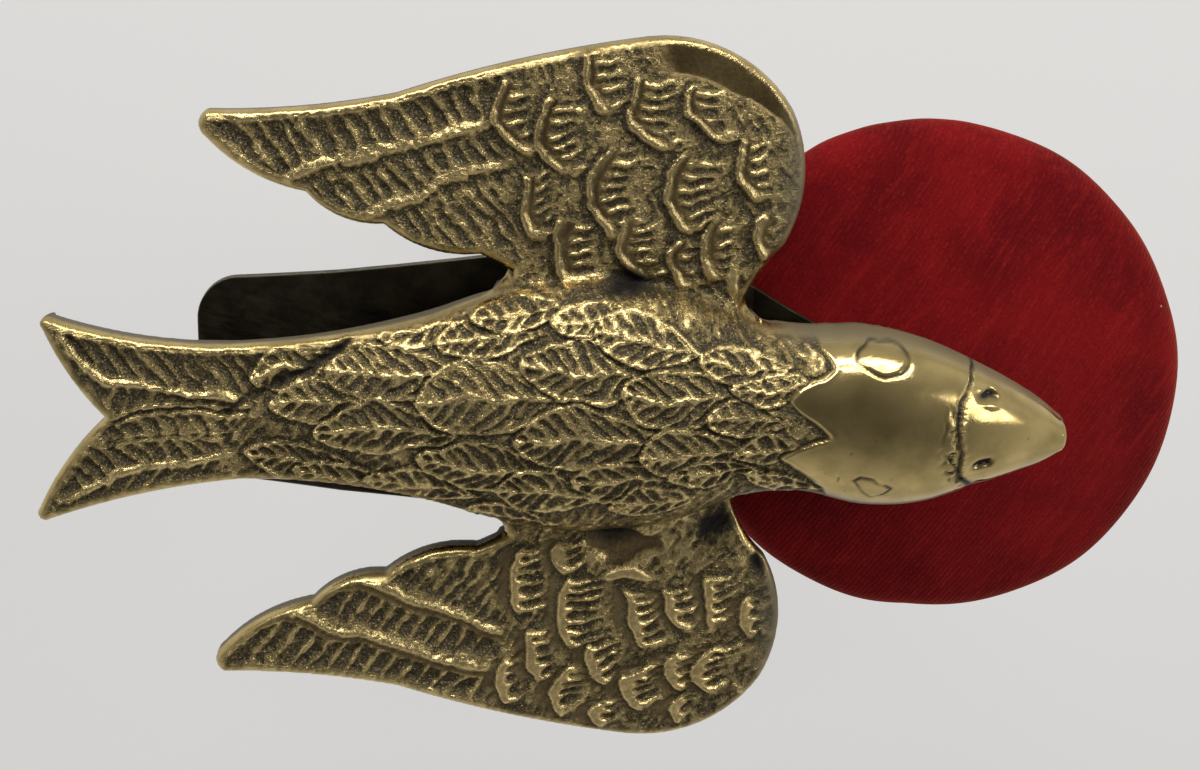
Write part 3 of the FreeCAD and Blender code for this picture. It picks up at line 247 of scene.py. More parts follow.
# Lines on the wings and tail, as x and y
QUILL_ONE = [(-31.0, 21.8), (-24.0, 24.1), (-18.0, 25.8), (-14.5, 27.0), (-10.0, 28.2)]
QUILL_TWO = [(-24.0, 18.3), (-18.0, 20.4), (-13.4, 22.5), (-8.6, 24.3)]
TAIL_QUILL_LEFT = [(-51.4, 7.4), (-49.6, 4.6), (-47.3, 3.0), (-44.9, 2.5), (-41.8, 2.1), (-35.6, 1.5)]
TAIL_QUILL_RIGHT = [(-51.6, -9.2), (-48.5, -7.4), (-46.3, -6.2), (-42.1, -5.3), (-36.0, -4.4)]
TAIL_MIDDLE = [(-47.6, -0.9), (-41.9, 0.0), (-34.0, 0.4)]
TAIL_SECOND = [(-47.0, -3.4), (-44.5, -2.5), (-35.7, -2.3)]
TAIL_GROOVE = [(-36.0, 0.4), (-33.4, 2.2), (-28.2, 4.8), (-24.4, 6.9)]

# Head marks
NECK_POINTS = [(22.4, -8.6), (21.6, -7.2), (16.8, -2.7), (20.9, -0.6), (17.2, 3.3), (21.3, 5.8), (19.4, 8.4)]
EYE = ((26.2, 6.8), 2.35, 1.55)
EYE_LINE = [(23.6, -5.3), (24.4, -4.5), (25.5, -4.4), (26.7, -5.2), (27.6, -5.8), (27.1, -6.6), (25.8, -7.3),
            (24.2, -5.6), (23.7, -5.2)]
COLLAR = [(36.2, -6.6), (35.0, -5.2), (34.1, -3.9), (33.4, 0.0), (33.9, 2.5), (35.1, 4.9), (36.4, 6.6)]
NOSTRILS = [(36.4, 3.0), (36.5, -3.5)]

# Worn, smooth and blackened places: middle, and half sizes along x and y
BLACK_PLACES = [
    ((1.9, 12.6), (2.6, 1.2)),
    ((1.6, -13.2), (2.6, 1.5)),
    ((12.0, -12.2), (2.0, 1.9)),
    ((16.4, -16.4), (0.8, 1.2)),
]
BROWN_BOWL = ((2.7, -14.7), (3.4, 1.9))
PALE_PLACES = [
    ((3.2, -17.6), (2.8, 0.55)),
    ((-3.4, -15.4), (0.8, 1.2)),
    ((12.4, 12.6), (0.6, 1.8)),
]
SHOULDER_MIDDLE = (8.0, 25.0)
SHOULDER_TURNS = (-10.0, 15.0, 100.0, 116.0)
SHOULDER_WIDTH = 2.3

# Cushion: a round form, with harmonics of its outline that follow the photograph
CUSHION_SIDE = 3.4
CUSHION_EQUATOR = 19.7
CUSHION_FOOT = 13.0
CUSHION_CROWN = 6.2
CUSHION_OVER_TURN = math.radians(76)
CUSHION_UNDER_TURN = math.radians(64)
CUSHION_SEGMENTS = 288
CROWN_STEPS = 60
ROUND_STEPS = 24
UNDER_STEPS = 16

# Spring and screw
SPRING_TURNS = 5
SPRING_WIRE = 0.35
SPRING_STEPS = 48
SPRING_SIDES = 14
THREAD_PITCH = 2.0
THREAD_DEPTH = 0.55
THREAD_STEP = 0.16
SCREW_SIDES = 48
BALL_RADIUS = 2.2
NECK_RADIUS = 1.5
NECK_LENGTH = 1.5

# Random tables, and a shift that keeps places in them positive
TABLE_SIDE = 64
NOISE_SHIFT = 500.0


def random_field(shape, seed):
    """A table of random numbers from 0 to 1, the same each time."""
    return np.random.default_rng(seed).random(shape)


def patchy(x, y, scale, seed):
    """Smooth noise from 0 to 1 with lumps of about the given size."""
    u = x / scale + NOISE_SHIFT
    v = y / scale + NOISE_SHIFT
    i = np.floor(u).astype(int)
    j = np.floor(v).astype(int)
    table = random_field((TABLE_SIDE, TABLE_SIDE), seed)
    a = u - i
    b = v - j
    a = a * a * (3 - 2 * a)
    b = b * b * (3 - 2 * b)

    def corner(di, dj):
        return table[(i + di) % TABLE_SIDE, (j + dj) % TABLE_SIDE]

    near = corner(0, 0) * (1 - a) + corner(1, 0) * a
    far = corner(0, 1) * (1 - a) + corner(1, 1) * a
    return near * (1 - b) + far * b


def per_barb(phase, seed):
    """One random number from 0 to 1 for each whole step of the phase."""
    return random_field(TABLE_SIDE, seed)[np.floor(phase).astype(int) % TABLE_SIDE]


def smooth_step(low, high, value):
    """0 below low, 1 above high, and smooth between them."""
    t = np.clip((value - low) / (high - low), 0, 1)
    return t * t * (3 - 2 * t)


def smooth_max(a, b, reach):
    """The larger of two, with a fillet where they are nearly equal."""
    h = np.maximum(reach - np.abs(a - b), 0) / reach
    return np.maximum(a, b) + reach * h * h / 4


def smooth_min(a, b, reach):
    return -smooth_max(-a, -b, reach)


def bump_at(distance, width):
    """A round ridge of height 1 on a line."""
    return np.exp(-(distance / width) ** 2)


def turns_of(count):
    """Angles evenly round a circle."""
    return [2 * math.pi * k / count for k in range(count)]


def arc_points(start, middle, end, count=12):
    """Points along the circle arc through three points, after the first."""
    (ax, ay), (bx, by), (cx, cy) = start, middle, end
    d = 2 * (ax * (by - cy) + bx * (cy - ay) + cx * (ay - by))
    a2, b2, c2 = ax * ax + ay * ay, bx * bx + by * by, cx * cx + cy * cy
    ux = (a2 * (by - cy) + b2 * (cy - ay) + c2 * (ay - by)) / d
    uy = (a2 * (cx - bx) + b2 * (ax - cx) + c2 * (bx - ax)) / d
    radius = math.hypot(ax - ux, ay - uy)
    first = math.atan2(ay - uy, ax - ux)
    turn_middle = (math.atan2(by - uy, bx - ux) - first) % (2 * math.pi)
    turn = (math.atan2(cy - uy, cx - ux) - first) % (2 * math.pi)
    if turn_middle > turn:
        turn -= 2 * math.pi
    angles = [first + turn * k / count for k in range(1, count + 1)]
    return [(ux + radius * math.cos(t), uy + radius * math.sin(t)) for t in angles]


def outline_points(start, steps):
    """A polygon from points and arcs, each arc given by its middle and end."""
    points = [start]
    for step in steps:
        if isinstance(step[0], tuple):
            points += arc_points(points[-1], *step)
        else:
            points.append(step)
    return np.array(points)


def depth_inside(x, y, polygon):
    """Distance to a polygon's edge, positive inside it."""
    nearest = np.full(x.shape, 1e9)
    crossings = np.zeros(x.shape, bool)
    for (ax, ay), (bx, by) in zip(polygon, np.roll(polygon, -1, axis=0)):
        ex, ey = bx - ax, by - ay
        along = np.clip(((x - ax) * ex + (y - ay) * ey) / max(ex * ex + ey * ey, 1e-12), 0, 1)
        nearest = np.minimum(nearest, (x - ax - along * ex) ** 2 + (y - ay - along * ey) ** 2)
        if ay != by:
            side = (ay > y) != (by > y)
            crossings ^= side & (x < (bx - ax) * (y - ay) / (by - ay) + ax)
    return np.where(crossings, 1, -1) * np.sqrt(nearest)


def trunk_at(x):
    """The trunk's middle, half width, underside and top at x, smooth between its sections."""
    xs = TRUNK[:, 0]
    x = np.clip(x, xs[0], xs[-1])
    i = np.clip(np.searchsorted(xs, x) - 1, 0, len(xs) - 2)
    slopes = np.gradient(TRUNK[:, 1:], xs, axis=0)
    step = xs[i + 1] - xs[i]
    u = (x - xs[i]) / step
    rise = 3 * u ** 2 - 2 * u ** 3
    leave = u ** 3 - 2 * u ** 2 + u
    arrive = u ** 3 - u ** 2
    return [TRUNK[i, k + 1] * (1 - rise) + TRUNK[i + 1, k + 1] * rise
            + slopes[i, k] * step * leave + slopes[i + 1, k] * step * arrive for k in range(4)]


def rounded_edge(depth, radius):
    """How far a surface with a round edge lies under its full height."""
    inside = np.clip(depth / radius, 0, 1)
    return radius * (1 - np.sqrt(np.maximum(1 - (1 - inside) ** 2, 0))) + np.maximum(-depth, 0) * 3


class BirdForm:
    """The bird's plain form on a grid: depth inside its outline, top and underside."""

    def __init__(self):
        xs = np.arange(-56.0, 47.5, GRID_STEP)
        ys = np.arange(-38.0, 38.0, GRID_STEP)
        self.x, self.y = np.meshgrid(xs, ys, indexing="ij")
        self.xs = xs
        self.ys = ys
        side = np.abs(self.y)
        self.wing = depth_inside(self.x, side, outline_points(WING_ROOT, WING_OUTLINE))
        left = outline_points(TAIL_ROOT, TAIL_LEFT)
        right = outline_points((TAIL_ROOT[0], -TAIL_ROOT[1]), TAIL_RIGHT)
        self.tail = depth_inside(self.x, self.y, np.concatenate([left, right[-2::-1]]))
        middle, half, low, top = trunk_at(self.x)
        across = (self.y - middle) / half
        ahead = np.maximum(self.x - TRUNK[-1, 0], 0) / BEAK_TIP_LENGTH
        self.trunk_share = np.sqrt(across ** 2 + ahead ** 2)
        slope = np.gradient(half, xs, axis=0)
        self.trunk = (1 - self.trunk_share) * half / np.sqrt(1 + slope ** 2)
        self.trunk = np.minimum(self.trunk, self.x - TRUNK[0, 0])
        self.half = half
        self.low = low
        self.depth = smooth_max(self.trunk, self.wing, ARMPIT_FILLET)
        self.depth = smooth_max(self.depth, self.tail, 0.3)
        self.top = self.top_surface(low, top)
        self.under = self.under_surface(low)

    def top_surface(self, low, top):
        widest = low + (top - low) * TRUNK_WIDEST
        dome = np.sqrt(np.maximum(1 - self.trunk_share ** 2, 0))
        trunk = widest + (top - widest) * dome - 1.5 * np.maximum(-self.trunk, 0)
        shoulder = np.exp(-((self.x - 6) / 12) ** 2 - ((np.abs(self.y) - 24) / 9) ** 2)
        wing = WING_TOP + 0.5 * shoulder - rounded_edge(self.wing, EDGE_ROUND + 0.7 * shoulder)
        tail = TAIL_TOP - rounded_edge(self.tail, EDGE_ROUND)
        return smooth_max(smooth_max(trunk, wing, TRUNK_WING_FILLET), tail, 0.8)

    def under_surface(self, low):
        trunk = low + 3 * np.maximum(-self.trunk, 0)
        wing = WING_UNDER + 3 * np.maximum(-self.wing, 0)
        tail = TAIL_UNDER + 3 * np.maximum(-self.tail, 0)
        return smooth_min(smooth_min(trunk, wing, 0.8), tail, 0.5)


def hand_waver(form, seed):
    """How far a chased line strays from its drawn place."""
    broad = 0.9 * (patchy(form.x, form.y, 2.6, seed) - 0.5)
    return broad + 0.3 * (patchy(form.x, form.y, 0.9, seed + 1) - 0.5)


class Relief:
    """Chased and cast detail on the bird's top: its height, and polished, pale, brown and black marks."""

    def __init__(self, form):
        self.form = form
        self.x = form.x + hand_waver(form, 61)
        self.y = form.y + hand_waver(form, 63)
        for grid in ("height", "polish", "black", "brown", "pale"):
            setattr(self, grid, np.zeros(form.x.shape))

    def window(self, x0, x1, y0, y1):
        """The slice of the grid between two corners."""
        i0, i1 = np.searchsorted(self.form.xs, (x0, x1))
        j0, j1 = np.searchsorted(self.form.ys, (y0, y1))
        return slice(i0, i1), slice(j0, j1)

    def lay(self, part, raised, mix):
        self.height[part] = self.height[part] * (1 - mix) + raised * mix

    def mark(self, kind, amount, cleared=0.0):
        """Raises a mark to an amount, after clearing a share of what was there."""
        grid = getattr(self, kind)
        setattr(self, kind, np.maximum(grid * (1 - cleared), amount))

    def feather(self, tip, root, half_width, seed):
        """A leaf-shaped feather: a rachis, narrow sinuous barbs with lens-shaped hollows, a thin rim."""
        part = self.window(min(tip[0], root[0]) - 1, max(tip[0], root[0]) + 1,
                           min(tip[1], root[1]) - half_width - 1.5, max(tip[1], root[1]) + half_width + 1.5)
        x, y = self.x[part], self.y[part]
        length = math.hypot(root[0] - tip[0], root[1] - tip[1])
        ex, ey = (root[0] - tip[0]) / length, (root[1] - tip[1]) / length
        s = (x - tip[0]) * ex + (y - tip[1]) * ey
        v = -(x - tip[0]) * ey + (y - tip[1]) * ex
        v = v + half_width * 0.14 * np.sin(np.pi * s / length) * (1 if seed % 2 else -1)
        u = np.clip(s / length, 1e-3, 1 - 1e-3)
        width = half_width * np.sin(np.pi * u ** 0.78) ** 0.85
        away = np.abs(v)
        edge = np.minimum(np.minimum((width - away) * 0.9, s * 0.6), (length - s) * 0.6)
        spacing = BARB_SPACING * (0.85 + 0.1 * half_width / 2)
        phase = (s + away * (0.9 + 0.08 * away)) / spacing + 0.37 * seed + 0.25 * (v > 0)
        depth = 0.65 + 0.6 * per_barb(phase, 90 + seed)
        across = np.clip(away / np.maximum(width, 0.2), 0, 1)
        flute = np.abs(np.sin(np.pi * phase)) ** 0.62 * np.sin(np.pi * across) ** 0.42
        barbs = flute * depth * smooth_step(0.05, 0.5, edge)
        rachis = bump_at(v, 0.17) * smooth_step(0.2, 1.0, s)
        broken = 1.25 * smooth_step(0.25, 0.85, patchy(x, y, 2.2, 70 + seed % 5))
        rim = bump_at(edge - 0.10, 0.16) * broken
        body = 0.34 * (1 - u) + 0.10 * (1 - across ** 2)
        self.height[part] -= 0.14 * bump_at(edge + 0.16, 0.17) * (0.3 + 0.7 * broken)
        self.lay(part, body + 0.13 * rachis + 0.15 * rim - 0.44 * barbs, smooth_step(-0.10, 0.12, edge))

    def covert(self, top, middle, bottom, reach, seed, lobed):
        """A shell-shaped covert: its free edge widens into a pale crescent, then come barbs that fade out."""
        part = self.window(min(top[0], middle[0], bottom[0]) - 2.5, max(top[0], bottom[0]) + reach + 4,
                           bottom[1] - 1.5, top[1] + 1.5)
        x, y = self.x[part], self.y[part]
        half_height = (top[1] - bottom[1]) / 2
        v = (y - (top[1] + bottom[1]) / 2) / half_height
        share = (middle[1] - bottom[1]) / (top[1] - bottom[1]) * 2 - 1
        bow_top = (top[0] - middle[0]) / (1 - share) ** 2
        bow_bottom = (bottom[0] - middle[0]) / (1 + share) ** 2
        curve = middle[0] + np.where(v > share, bow_top, bow_bottom) * (v - share) ** 2
        p = x - curve
        ends = 1 - smooth_step(0.80, 1.06, np.abs(v))
        fade = 1 - smooth_step(reach * 0.8, reach + 2.0, p)
        if lobed:
            crescent = 0.15 + (0.75 + 0.6 * smooth_step(-18, -26, middle[1])) * np.clip(1 - v * v, 0, 1)
            first_barb = crescent * 0.7
            channel = bump_at(p + 0.85, 0.50)
            slant = 0.16
        else:
            crescent = 0.12 + 0.75 * smooth_step(0.0, -0.8, v)
            first_barb = crescent + 0.9
            channel = bump_at(p - crescent - 0.75, 0.60) * smooth_step(-1.0, -0.5, v)
            slant = 0.04
        count = np.maximum(2.0, half_height * 2 / 1.15)
        phase = (v - slant * p / half_height + 1) / 2 * count + 0.2 * np.sin(1.1 * p) + 0.3
        depth = 0.6 + 0.7 * per_barb(phase, 130 + seed)
        zone = smooth_step(first_barb, first_barb + 0.4, p) * (1 - smooth_step(reach * 0.62, reach, p))
        ridge = (1 - np.abs(np.sin(np.pi * phase)) ** 0.7) ** (0.8 + 0.6 * np.clip(p / reach, 0, 1))
        inner = crescent + lobed * (1.6 * ridge * depth - 0.2)
        pale = smooth_step(-0.12, 0.22, p) * (1 - smooth_step(inner - 0.25, inner + 0.30, p))
        pale = pale * np.clip(0.45 + 0.8 * patchy(x, y, 0.9, 80 + seed % 4), 0, 1)
        barbs = zone * (0.32 * ridge * depth - 0.24 * (1 - ridge))
        body = 0.40 * (1 - smooth_step(0.3, reach + 1.0, p))
        outside = channel * ends * lobed
        self.height[part] -= 0.12 * bump_at(p + 0.30, 0.30) * ends + 0.20 * outside
        raised = body + 0.12 * pale - 0.18 * channel * (not lobed) + barbs
        mix = smooth_step(-0.10, 0.12, p) * ends * fade
        self.lay(part, raised, mix)
        smooth = np.maximum(0.5 * pale, 0.6 * channel * (not lobed))
        self.pale[part] = np.maximum(self.pale[part] * (1 - mix), mix * pale * (0.85 if lobed else 0.5))
        self.polish[part] = np.maximum(self.polish[part] * (1 - mix), mix * smooth)
        self.polish[part] = np.maximum(self.polish[part], 0.45 * outside)
        stained = patchy(x, y, 4.0, 33)
        inside = channel * (not lobed) * (0.5 + 0.6 * stained)
        self.brown[part] = np.maximum(self.brown[part] * (1 - mix), mix * inside)
        self.brown[part] = np.maximum(self.brown[part], outside * stained)

    def vane(self, region, low, high, spacing, slant, depth):
        """Slanting chiselled barbs between two edges, given as distances from each."""
        share = np.clip(low / np.maximum(low + high, 1e-6), 0, 1)
        phase = (self.x + slant * self.y) / spacing + 0.15 * (share - 0.5) ** 2
        mask = region * smooth_step(0.0, 0.35, low) * smooth_step(0.0, 0.35, high)
        shape = np.maximum(np.sin(np.pi * share), 0) ** 0.5
        uneven = 0.75 + 0.4 * per_barb(phase, 170)
        self.height -= depth * uneven * np.abs(np.sin(np.pi * phase)) ** 0.65 * mask * shape

    def line(self, points, width, height, noise=0.0):
        """A ridge, or with a negative height a groove, along a line of points."""
        distance = np.full(self.x.shape, 1e9)
        for (ax, ay), (bx, by) in zip(points, points[1:]):
            ex, ey = bx - ax, by - ay
            along = np.clip(((self.x - ax) * ex + (self.y - ay) * ey) / (ex * ex + ey * ey), 0, 1)
            distance = np.minimum(distance, np.hypot(self.x - ax - along * ex, self.y - ay - along * ey))
        strength = 1 + noise * (patchy(self.x, self.y, 0.5, 3) - 0.5)
        self.height += height * strength * bump_at(distance, width)
        return distance


def height_of(points, x):
    """A line's y at x."""
    table = np.array(points)
    return np.interp(x, table[:, 0], table[:, 1])


def wing_relief(relief, side):
    """Three primaries with chiselled barbs on one wing."""
    form = relief.form
    x, y = relief.x, relief.y * side
    quill_one = height_of(QUILL_ONE, x)
    quill_two = height_of(QUILL_TWO, x)
    on_wing = smooth_step(0.2, 0.9, form.wing) * (y > 12)
    primaries = on_wing * (1 - smooth_step(-11.0, -9.0, x + 0.12 * (y - 24)))
    first = y - quill_one
    second = quill_one - y
    third = quill_two - y
    saved_y = relief.y
    relief.y = y
    far_side = side < 0
    margin = 1.15 if far_side else 0.55
    relief.vane(primaries * (first > 0), first - margin, form.wing - 0.8, 2.0, 0.68, 0.52)
    between = primaries * (second > 0) * (third < 0)
    relief.vane(between, second - 0.9, -third - margin, 1.75, 0.62, 0.46)
    relief.vane(primaries * (third > 0), third - 0.8, form.wing - 0.7, 1.55, 0.85, 0.34)
    relief.height -= 0.30 * primaries * bump_at(second - 0.8, 0.5) * (not far_side)
    relief.height -= 0.26 * primaries * bump_at(third - 0.7, 0.45) * (not far_side)
    height, width = (0.42, 0.62) if far_side else (0.18, 0.38)
    fading = 0.6 + 0.4 * smooth_step(-34.0, -24.0, x)
    quills = primaries * fading * np.maximum(bump_at(first, width), bump_at(third, width))
    relief.height += height * quills
    # On the lower wing a groove runs beside each quill; its brown is partly a real stained channel and partly
    # painted shade on the quill's far side.
    grooves_and_shade = primaries * np.maximum(bump_at(first - 0.75, 0.4), bump_at(third + 0.75, 0.4)) * far_side
    relief.height -= 0.22 * grooves_and_shade
    relief.mark("brown", 0.8 * grooves_and_shade)
    relief.mark("polish", 0.5 * grooves_and_shade)
    relief.y = saved_y


def tail_relief(relief):
    """Long tail feathers on each fork, with a smooth margin along the fork's edges."""
    x, y = relief.x, relief.y
    form = relief.form
    tail = smooth_step(0.15, 0.6, form.tail) * (1 - smooth_step(-35.5, -33.0, x - 0.45 * y))
    left = height_of(TAIL_QUILL_LEFT, x)
    right = height_of(TAIL_QUILL_RIGHT, x)
    middle = height_of(TAIL_MIDDLE, x)
    second = height_of(TAIL_SECOND, x)
    margin = smooth_step(0.9, 1.5, form.tail)
    relief.vane(tail * (y > left), y - left - 0.25, form.tail - 0.7, 1.72, 0.75, 0.50)
    relief.vane(tail * (y < left) * (y > middle) * margin, left - y - 0.2, y - middle - 0.35, 2.1, -0.8, 0.30)
    relief.vane(tail * (y < middle) * (y > second), middle - y - 0.3, y - second - 0.2, 1.75, 0.9, 0.32)
    between = tail * (y < second) * (y > right) * margin
    relief.vane(between, second - y - 0.25, y - right - 0.2, 1.9, 0.95, 0.46)
    relief.vane(tail * (y < right), right - y - 0.25, form.tail - 0.6, 1.8, -0.8, 0.34)
    relief.line(TAIL_QUILL_LEFT, 0.32, 0.30, 0.6)
    relief.line(TAIL_QUILL_RIGHT, 0.26, 0.16, 0.6)
    relief.line(TAIL_MIDDLE, 0.2, -0.30)
    relief.line([(px, py + 0.45) for px, py in TAIL_MIDDLE], 0.2, 0.14)
    relief.line([(px, py - 0.45) for px, py in TAIL_MIDDLE], 0.2, 0.12)
    relief.line(TAIL_SECOND, 0.2, -0.20)


def head_relief(relief):
    """Smooth polished head with a saw-toothed neck border, eye rings, beak collar and nostrils."""
    x, y = relief.x, relief.y
    border = np.interp(y, [p[1] for p in NECK_POINTS], [p[0] for p in NECK_POINTS])
    head = smooth_step(-0.1, 0.35, x - border)
    relief.height = relief.height * (1 - head) + 0.12 * head
    relief.line(NECK_POINTS, 0.2, -0.30)
    relief.line([(px + 0.40, py) for px, py in NECK_POINTS], 0.20, 0.09)
    relief.mark("polish", head, head)
    (cx, cy), long_half, short_half = EYE
    ring = np.hypot((x - cx) / long_half, (y - cy) / short_half)
    away = (ring / (1 + 0.04 * np.sin(3 * np.arctan2(y - cy, x - cx))) - 1) * short_half
    broken = 1 - 0.65 * patchy(x, y, 1.1, 21)
    relief.height -= 0.13 * broken * bump_at(away, 0.15)
    relief.height += 0.05 * bump_at(away + 0.4, 0.25)
    relief.mark("black", np.clip(1.25 * broken * bump_at(away, 0.15) - 0.1, 0, 1))
    distance = relief.line(EYE_LINE, 0.15, -0.10, 1.2)
    broken = 1.2 - 0.9 * patchy(x, y, 0.8, 22)
    relief.mark("black", np.clip(1.2 * broken * bump_at(distance, 0.15) - 0.1, 0, 1))
    ragged = patchy(x, y, 0.6, 9)
    torn = patchy(x, y, 0.34, 11)
    teeth = 0.5 + 0.5 * np.cos(2 * np.pi * (y + 0.5 * patchy(x, y, 0.7, 8)) / 0.62)
    distance = relief.line(COLLAR, 0.18, -0.22, 1.6)
    collar_x = np.interp(y, [p[1] for p in COLLAR], [p[0] for p in COLLAR])
    behind = bump_at(x - collar_x + 0.75, 0.75) * smooth_step(2.2, -0.5, y) * smooth_step(-7.0, -5.0, y)
    relief.height += 0.12 * teeth * bump_at(x - collar_x - 0.40, 0.24)
    relief.height -= 0.34 * behind * smooth_step(0.45, 0.8, torn) - 0.10 * behind * ragged
    relief.mark("black", np.clip(1.4 * bump_at(distance, 0.22) * (ragged + 0.15), 0, 1))
    relief.mark("black", np.clip(0.9 * behind * smooth_step(0.55, 0.85, torn), 0, 1))
    relief.polish *= 1 - 0.7 * np.maximum(bump_at(distance, 0.45), 0.7 * behind)
    chip = np.exp(-((x - 36.9) / 0.75) ** 2 - ((y + 7.2) / 1.0) ** 2)
    relief.height -= 1.3 * chip
    relief.mark("black", 0.45 * chip)
    specks = head * smooth_step(0.93, 0.98, patchy(x, y, 0.42, 15)) * smooth_step(2.0, -3.0, y)
    relief.mark("black", 0.7 * specks)
    for cx, cy in NOSTRILS:
        slit = np.exp(-((x - cx) / 0.95) ** 4 - ((y - cy - 0.12 * (x - cx)) / 0.36) ** 2)
        lip = np.exp(-((x - cx - 0.2) / 1.1) ** 2 - ((y - cy + 0.75) / 0.28) ** 2)
        relief.height += 0.20 * lip * (cy > 0) - 0.6 * slit
        relief.mark("black", np.clip(1.4 * slit, 0, 1))


def cast_ground(relief):
    """Short strokes on the ground between the feathers."""
    x, y = relief.x, relief.y
    strokes = np.abs(np.sin(np.pi * (x + 0.8 * np.abs(y)) / 1.2 + 3 * patchy(x, y, 2.4, 7))) ** 0.7
    relief.height -= 0.24 * strokes * patchy(x, y, 1.5, 12)


def cast_grit(relief):
    """The gritty skin of the sand casting, worn off where the brass is polished."""
    x, y = relief.form.x, relief.form.y
    grains = 0.5 * patchy(x, y, 0.62, 1) + 0.5 * patchy(x, y, 0.37, 2)
    pits = smooth_step(0.66, 0.86, patchy(x, y, 0.55, 4))
    rough = 1 - np.clip(relief.polish * 1.15, 0, 1)
    relief.height += GRIT * rough * (2 * (grains - 0.5) - 0.8 * pits)


def smooth_shoulder(relief):
    """A smooth brown band inside the left wing's front edge."""
    form = relief.form
    x, y = relief.x - SHOULDER_MIDDLE[0], relief.y - SHOULDER_MIDDLE[1]
    turn = np.degrees(np.arctan2(y, x))
    low, low_full, high_full, high = SHOULDER_TURNS
    reach = 0.9 + SHOULDER_WIDTH * smooth_step(5, 60, turn)
    band = smooth_step(0.55, 0.85, form.wing) * (1 - smooth_step(reach, reach + 0.5, form.wing))
    band = band * smooth_step(low, low_full, turn) * (1 - smooth_step(high_full, high, turn))
    band = band * (relief.y > 20)
    relief.height = relief.height * (1 - band) - 0.16 * band
    relief.mark("polish", 0.8 * band, band)
    stain = 0.6 + 0.35 * patchy(relief.x, relief.y, 3.0, 35)
    relief.mark("brown", band * stain, band)
    relief.pale = relief.pale * (1 - band)


def worn_places(relief):
    """Pits that hold black, a brown bowl at the right wing's root, and places rubbed pale."""
    x, y = relief.x, relief.y
    (cx, cy), (hx, hy) = BROWN_BOWL
    reach = np.hypot((x - cx) / hx, (y - cy) / hy) * (0.75 + 0.5 * patchy(x, y, 1.3, 36))
    bowl = 1 - smooth_step(0.65, 1.2, reach)
    relief.height = relief.height * (1 - 0.85 * bowl) - 0.70 * bowl
    relief.mark("polish", 0.3 * bowl, bowl)
    relief.mark("brown", 0.8 * bowl, bowl)
    relief.pale = relief.pale * (1 - bowl)
    for (cx, cy), (hx, hy) in PALE_PLACES:
        pale = 1 - smooth_step(0.6, 1.2, np.hypot((x - cx) / hx, (y - cy) / hy))
        relief.height = relief.height * (1 - pale) + 0.30 * pale
        relief.mark("polish", 0.5 * pale)
        relief.mark("pale", 0.8 * pale)
        relief.brown = relief.brown * (1 - pale)
    for (cx, cy), (hx, hy) in BLACK_PLACES:
        pit = np.exp(-((x - cx) / hx) ** 2 - ((y - cy) / hy) ** 2)
        relief.height -= 0.6 * pit
        stain = pit * (0.75 + 0.9 * patchy(x, y, 0.8, 31)) - 0.15
        relief.mark("black", np.clip(1.3 * stain, 0, 1))


def bird_relief(form):
    """All of the bird's detail, from the tail forward."""
    relief = Relief(form)
    cast_ground(relief)
    for side in (1, -1):
        wing_relief(relief, side)
    for seed, (top, middle, bottom, reach) in enumerate(LEFT_COVERTS + RIGHT_COVERTS):
        relief.covert(top, middle, bottom, reach, seed, seed >= len(LEFT_COVERTS))
    tail_relief(relief)
    for seed, (tip, root, half_width) in enumerate(BODY_FEATHERS):
        relief.feather(tip, root, half_width, seed)
    distance = relief.line(TAIL_GROOVE, 0.42, -0.45)
    relief.mark("black", 0.9 * bump_at(distance, 0.45) * smooth_step(-37, -29, relief.x))
    smooth_shoulder(relief)
    worn_places(relief)
    head_relief(relief)
    cast_grit(relief)
    edge = smooth_step(0.0, 0.8, form.depth)
    rim = bump_at(form.wing - 0.5, 0.3) * (form.trunk < -0.5)
    relief.height = relief.height * edge + 0.06 * rim
    relief.mark("polish", 0.75 * (1 - smooth_step(0.5, 0.95, form.depth)))
    return relief


def blurred(values, sigma):
    """A grid smoothed along both axes."""
    reach = int(3 * sigma / GRID_STEP)
    offsets = np.arange(-reach, reach + 1) * GRID_STEP
    weights = np.exp(-0.5 * (offsets / sigma) ** 2)
    weights /= weights.sum()
    for axis in (0, 1):
        values = np.apply_along_axis(np.convolve, axis, values, weights, mode="same")
    return values


class GridSampler:
    """Reads a grid's values between its points."""

    def __init__(self, form):
        self.x0, self.y0 = form.xs[0], form.ys[0]
        self.shape = form.x.shape

    def read(self, grid, x, y):
        u = np.clip((x - self.x0) / GRID_STEP, 0, self.shape[0] - 1.001)
        v = np.clip((y - self.y0) / GRID_STEP, 0, self.shape[1] - 1.001)
        i, j = u.astype(int), v.astype(int)
        a, b = u - i, v - j
        return ((grid[i, j] * (1 - a) + grid[i + 1, j] * a) * (1 - b)
                + (grid[i, j + 1] * (1 - a) + grid[i + 1, j + 1] * a) * b)


def snapped_points(form):
    """Grid points, with those beside the outline moved onto it."""
    gx, gy = np.gradient(form.depth, GRID_STEP)
    size = np.maximum(np.hypot(gx, gy), 1e-6)
    near = np.abs(form.depth) < 0.5 * GRID_STEP * size
    x = np.where(near, form.x - form.depth * gx / size ** 2, form.x)
    y = np.where(near, form.y - form.depth * gy / size ** 2, form.y)
    return x, y, near | (form.depth > 0), gx / size, gy / size


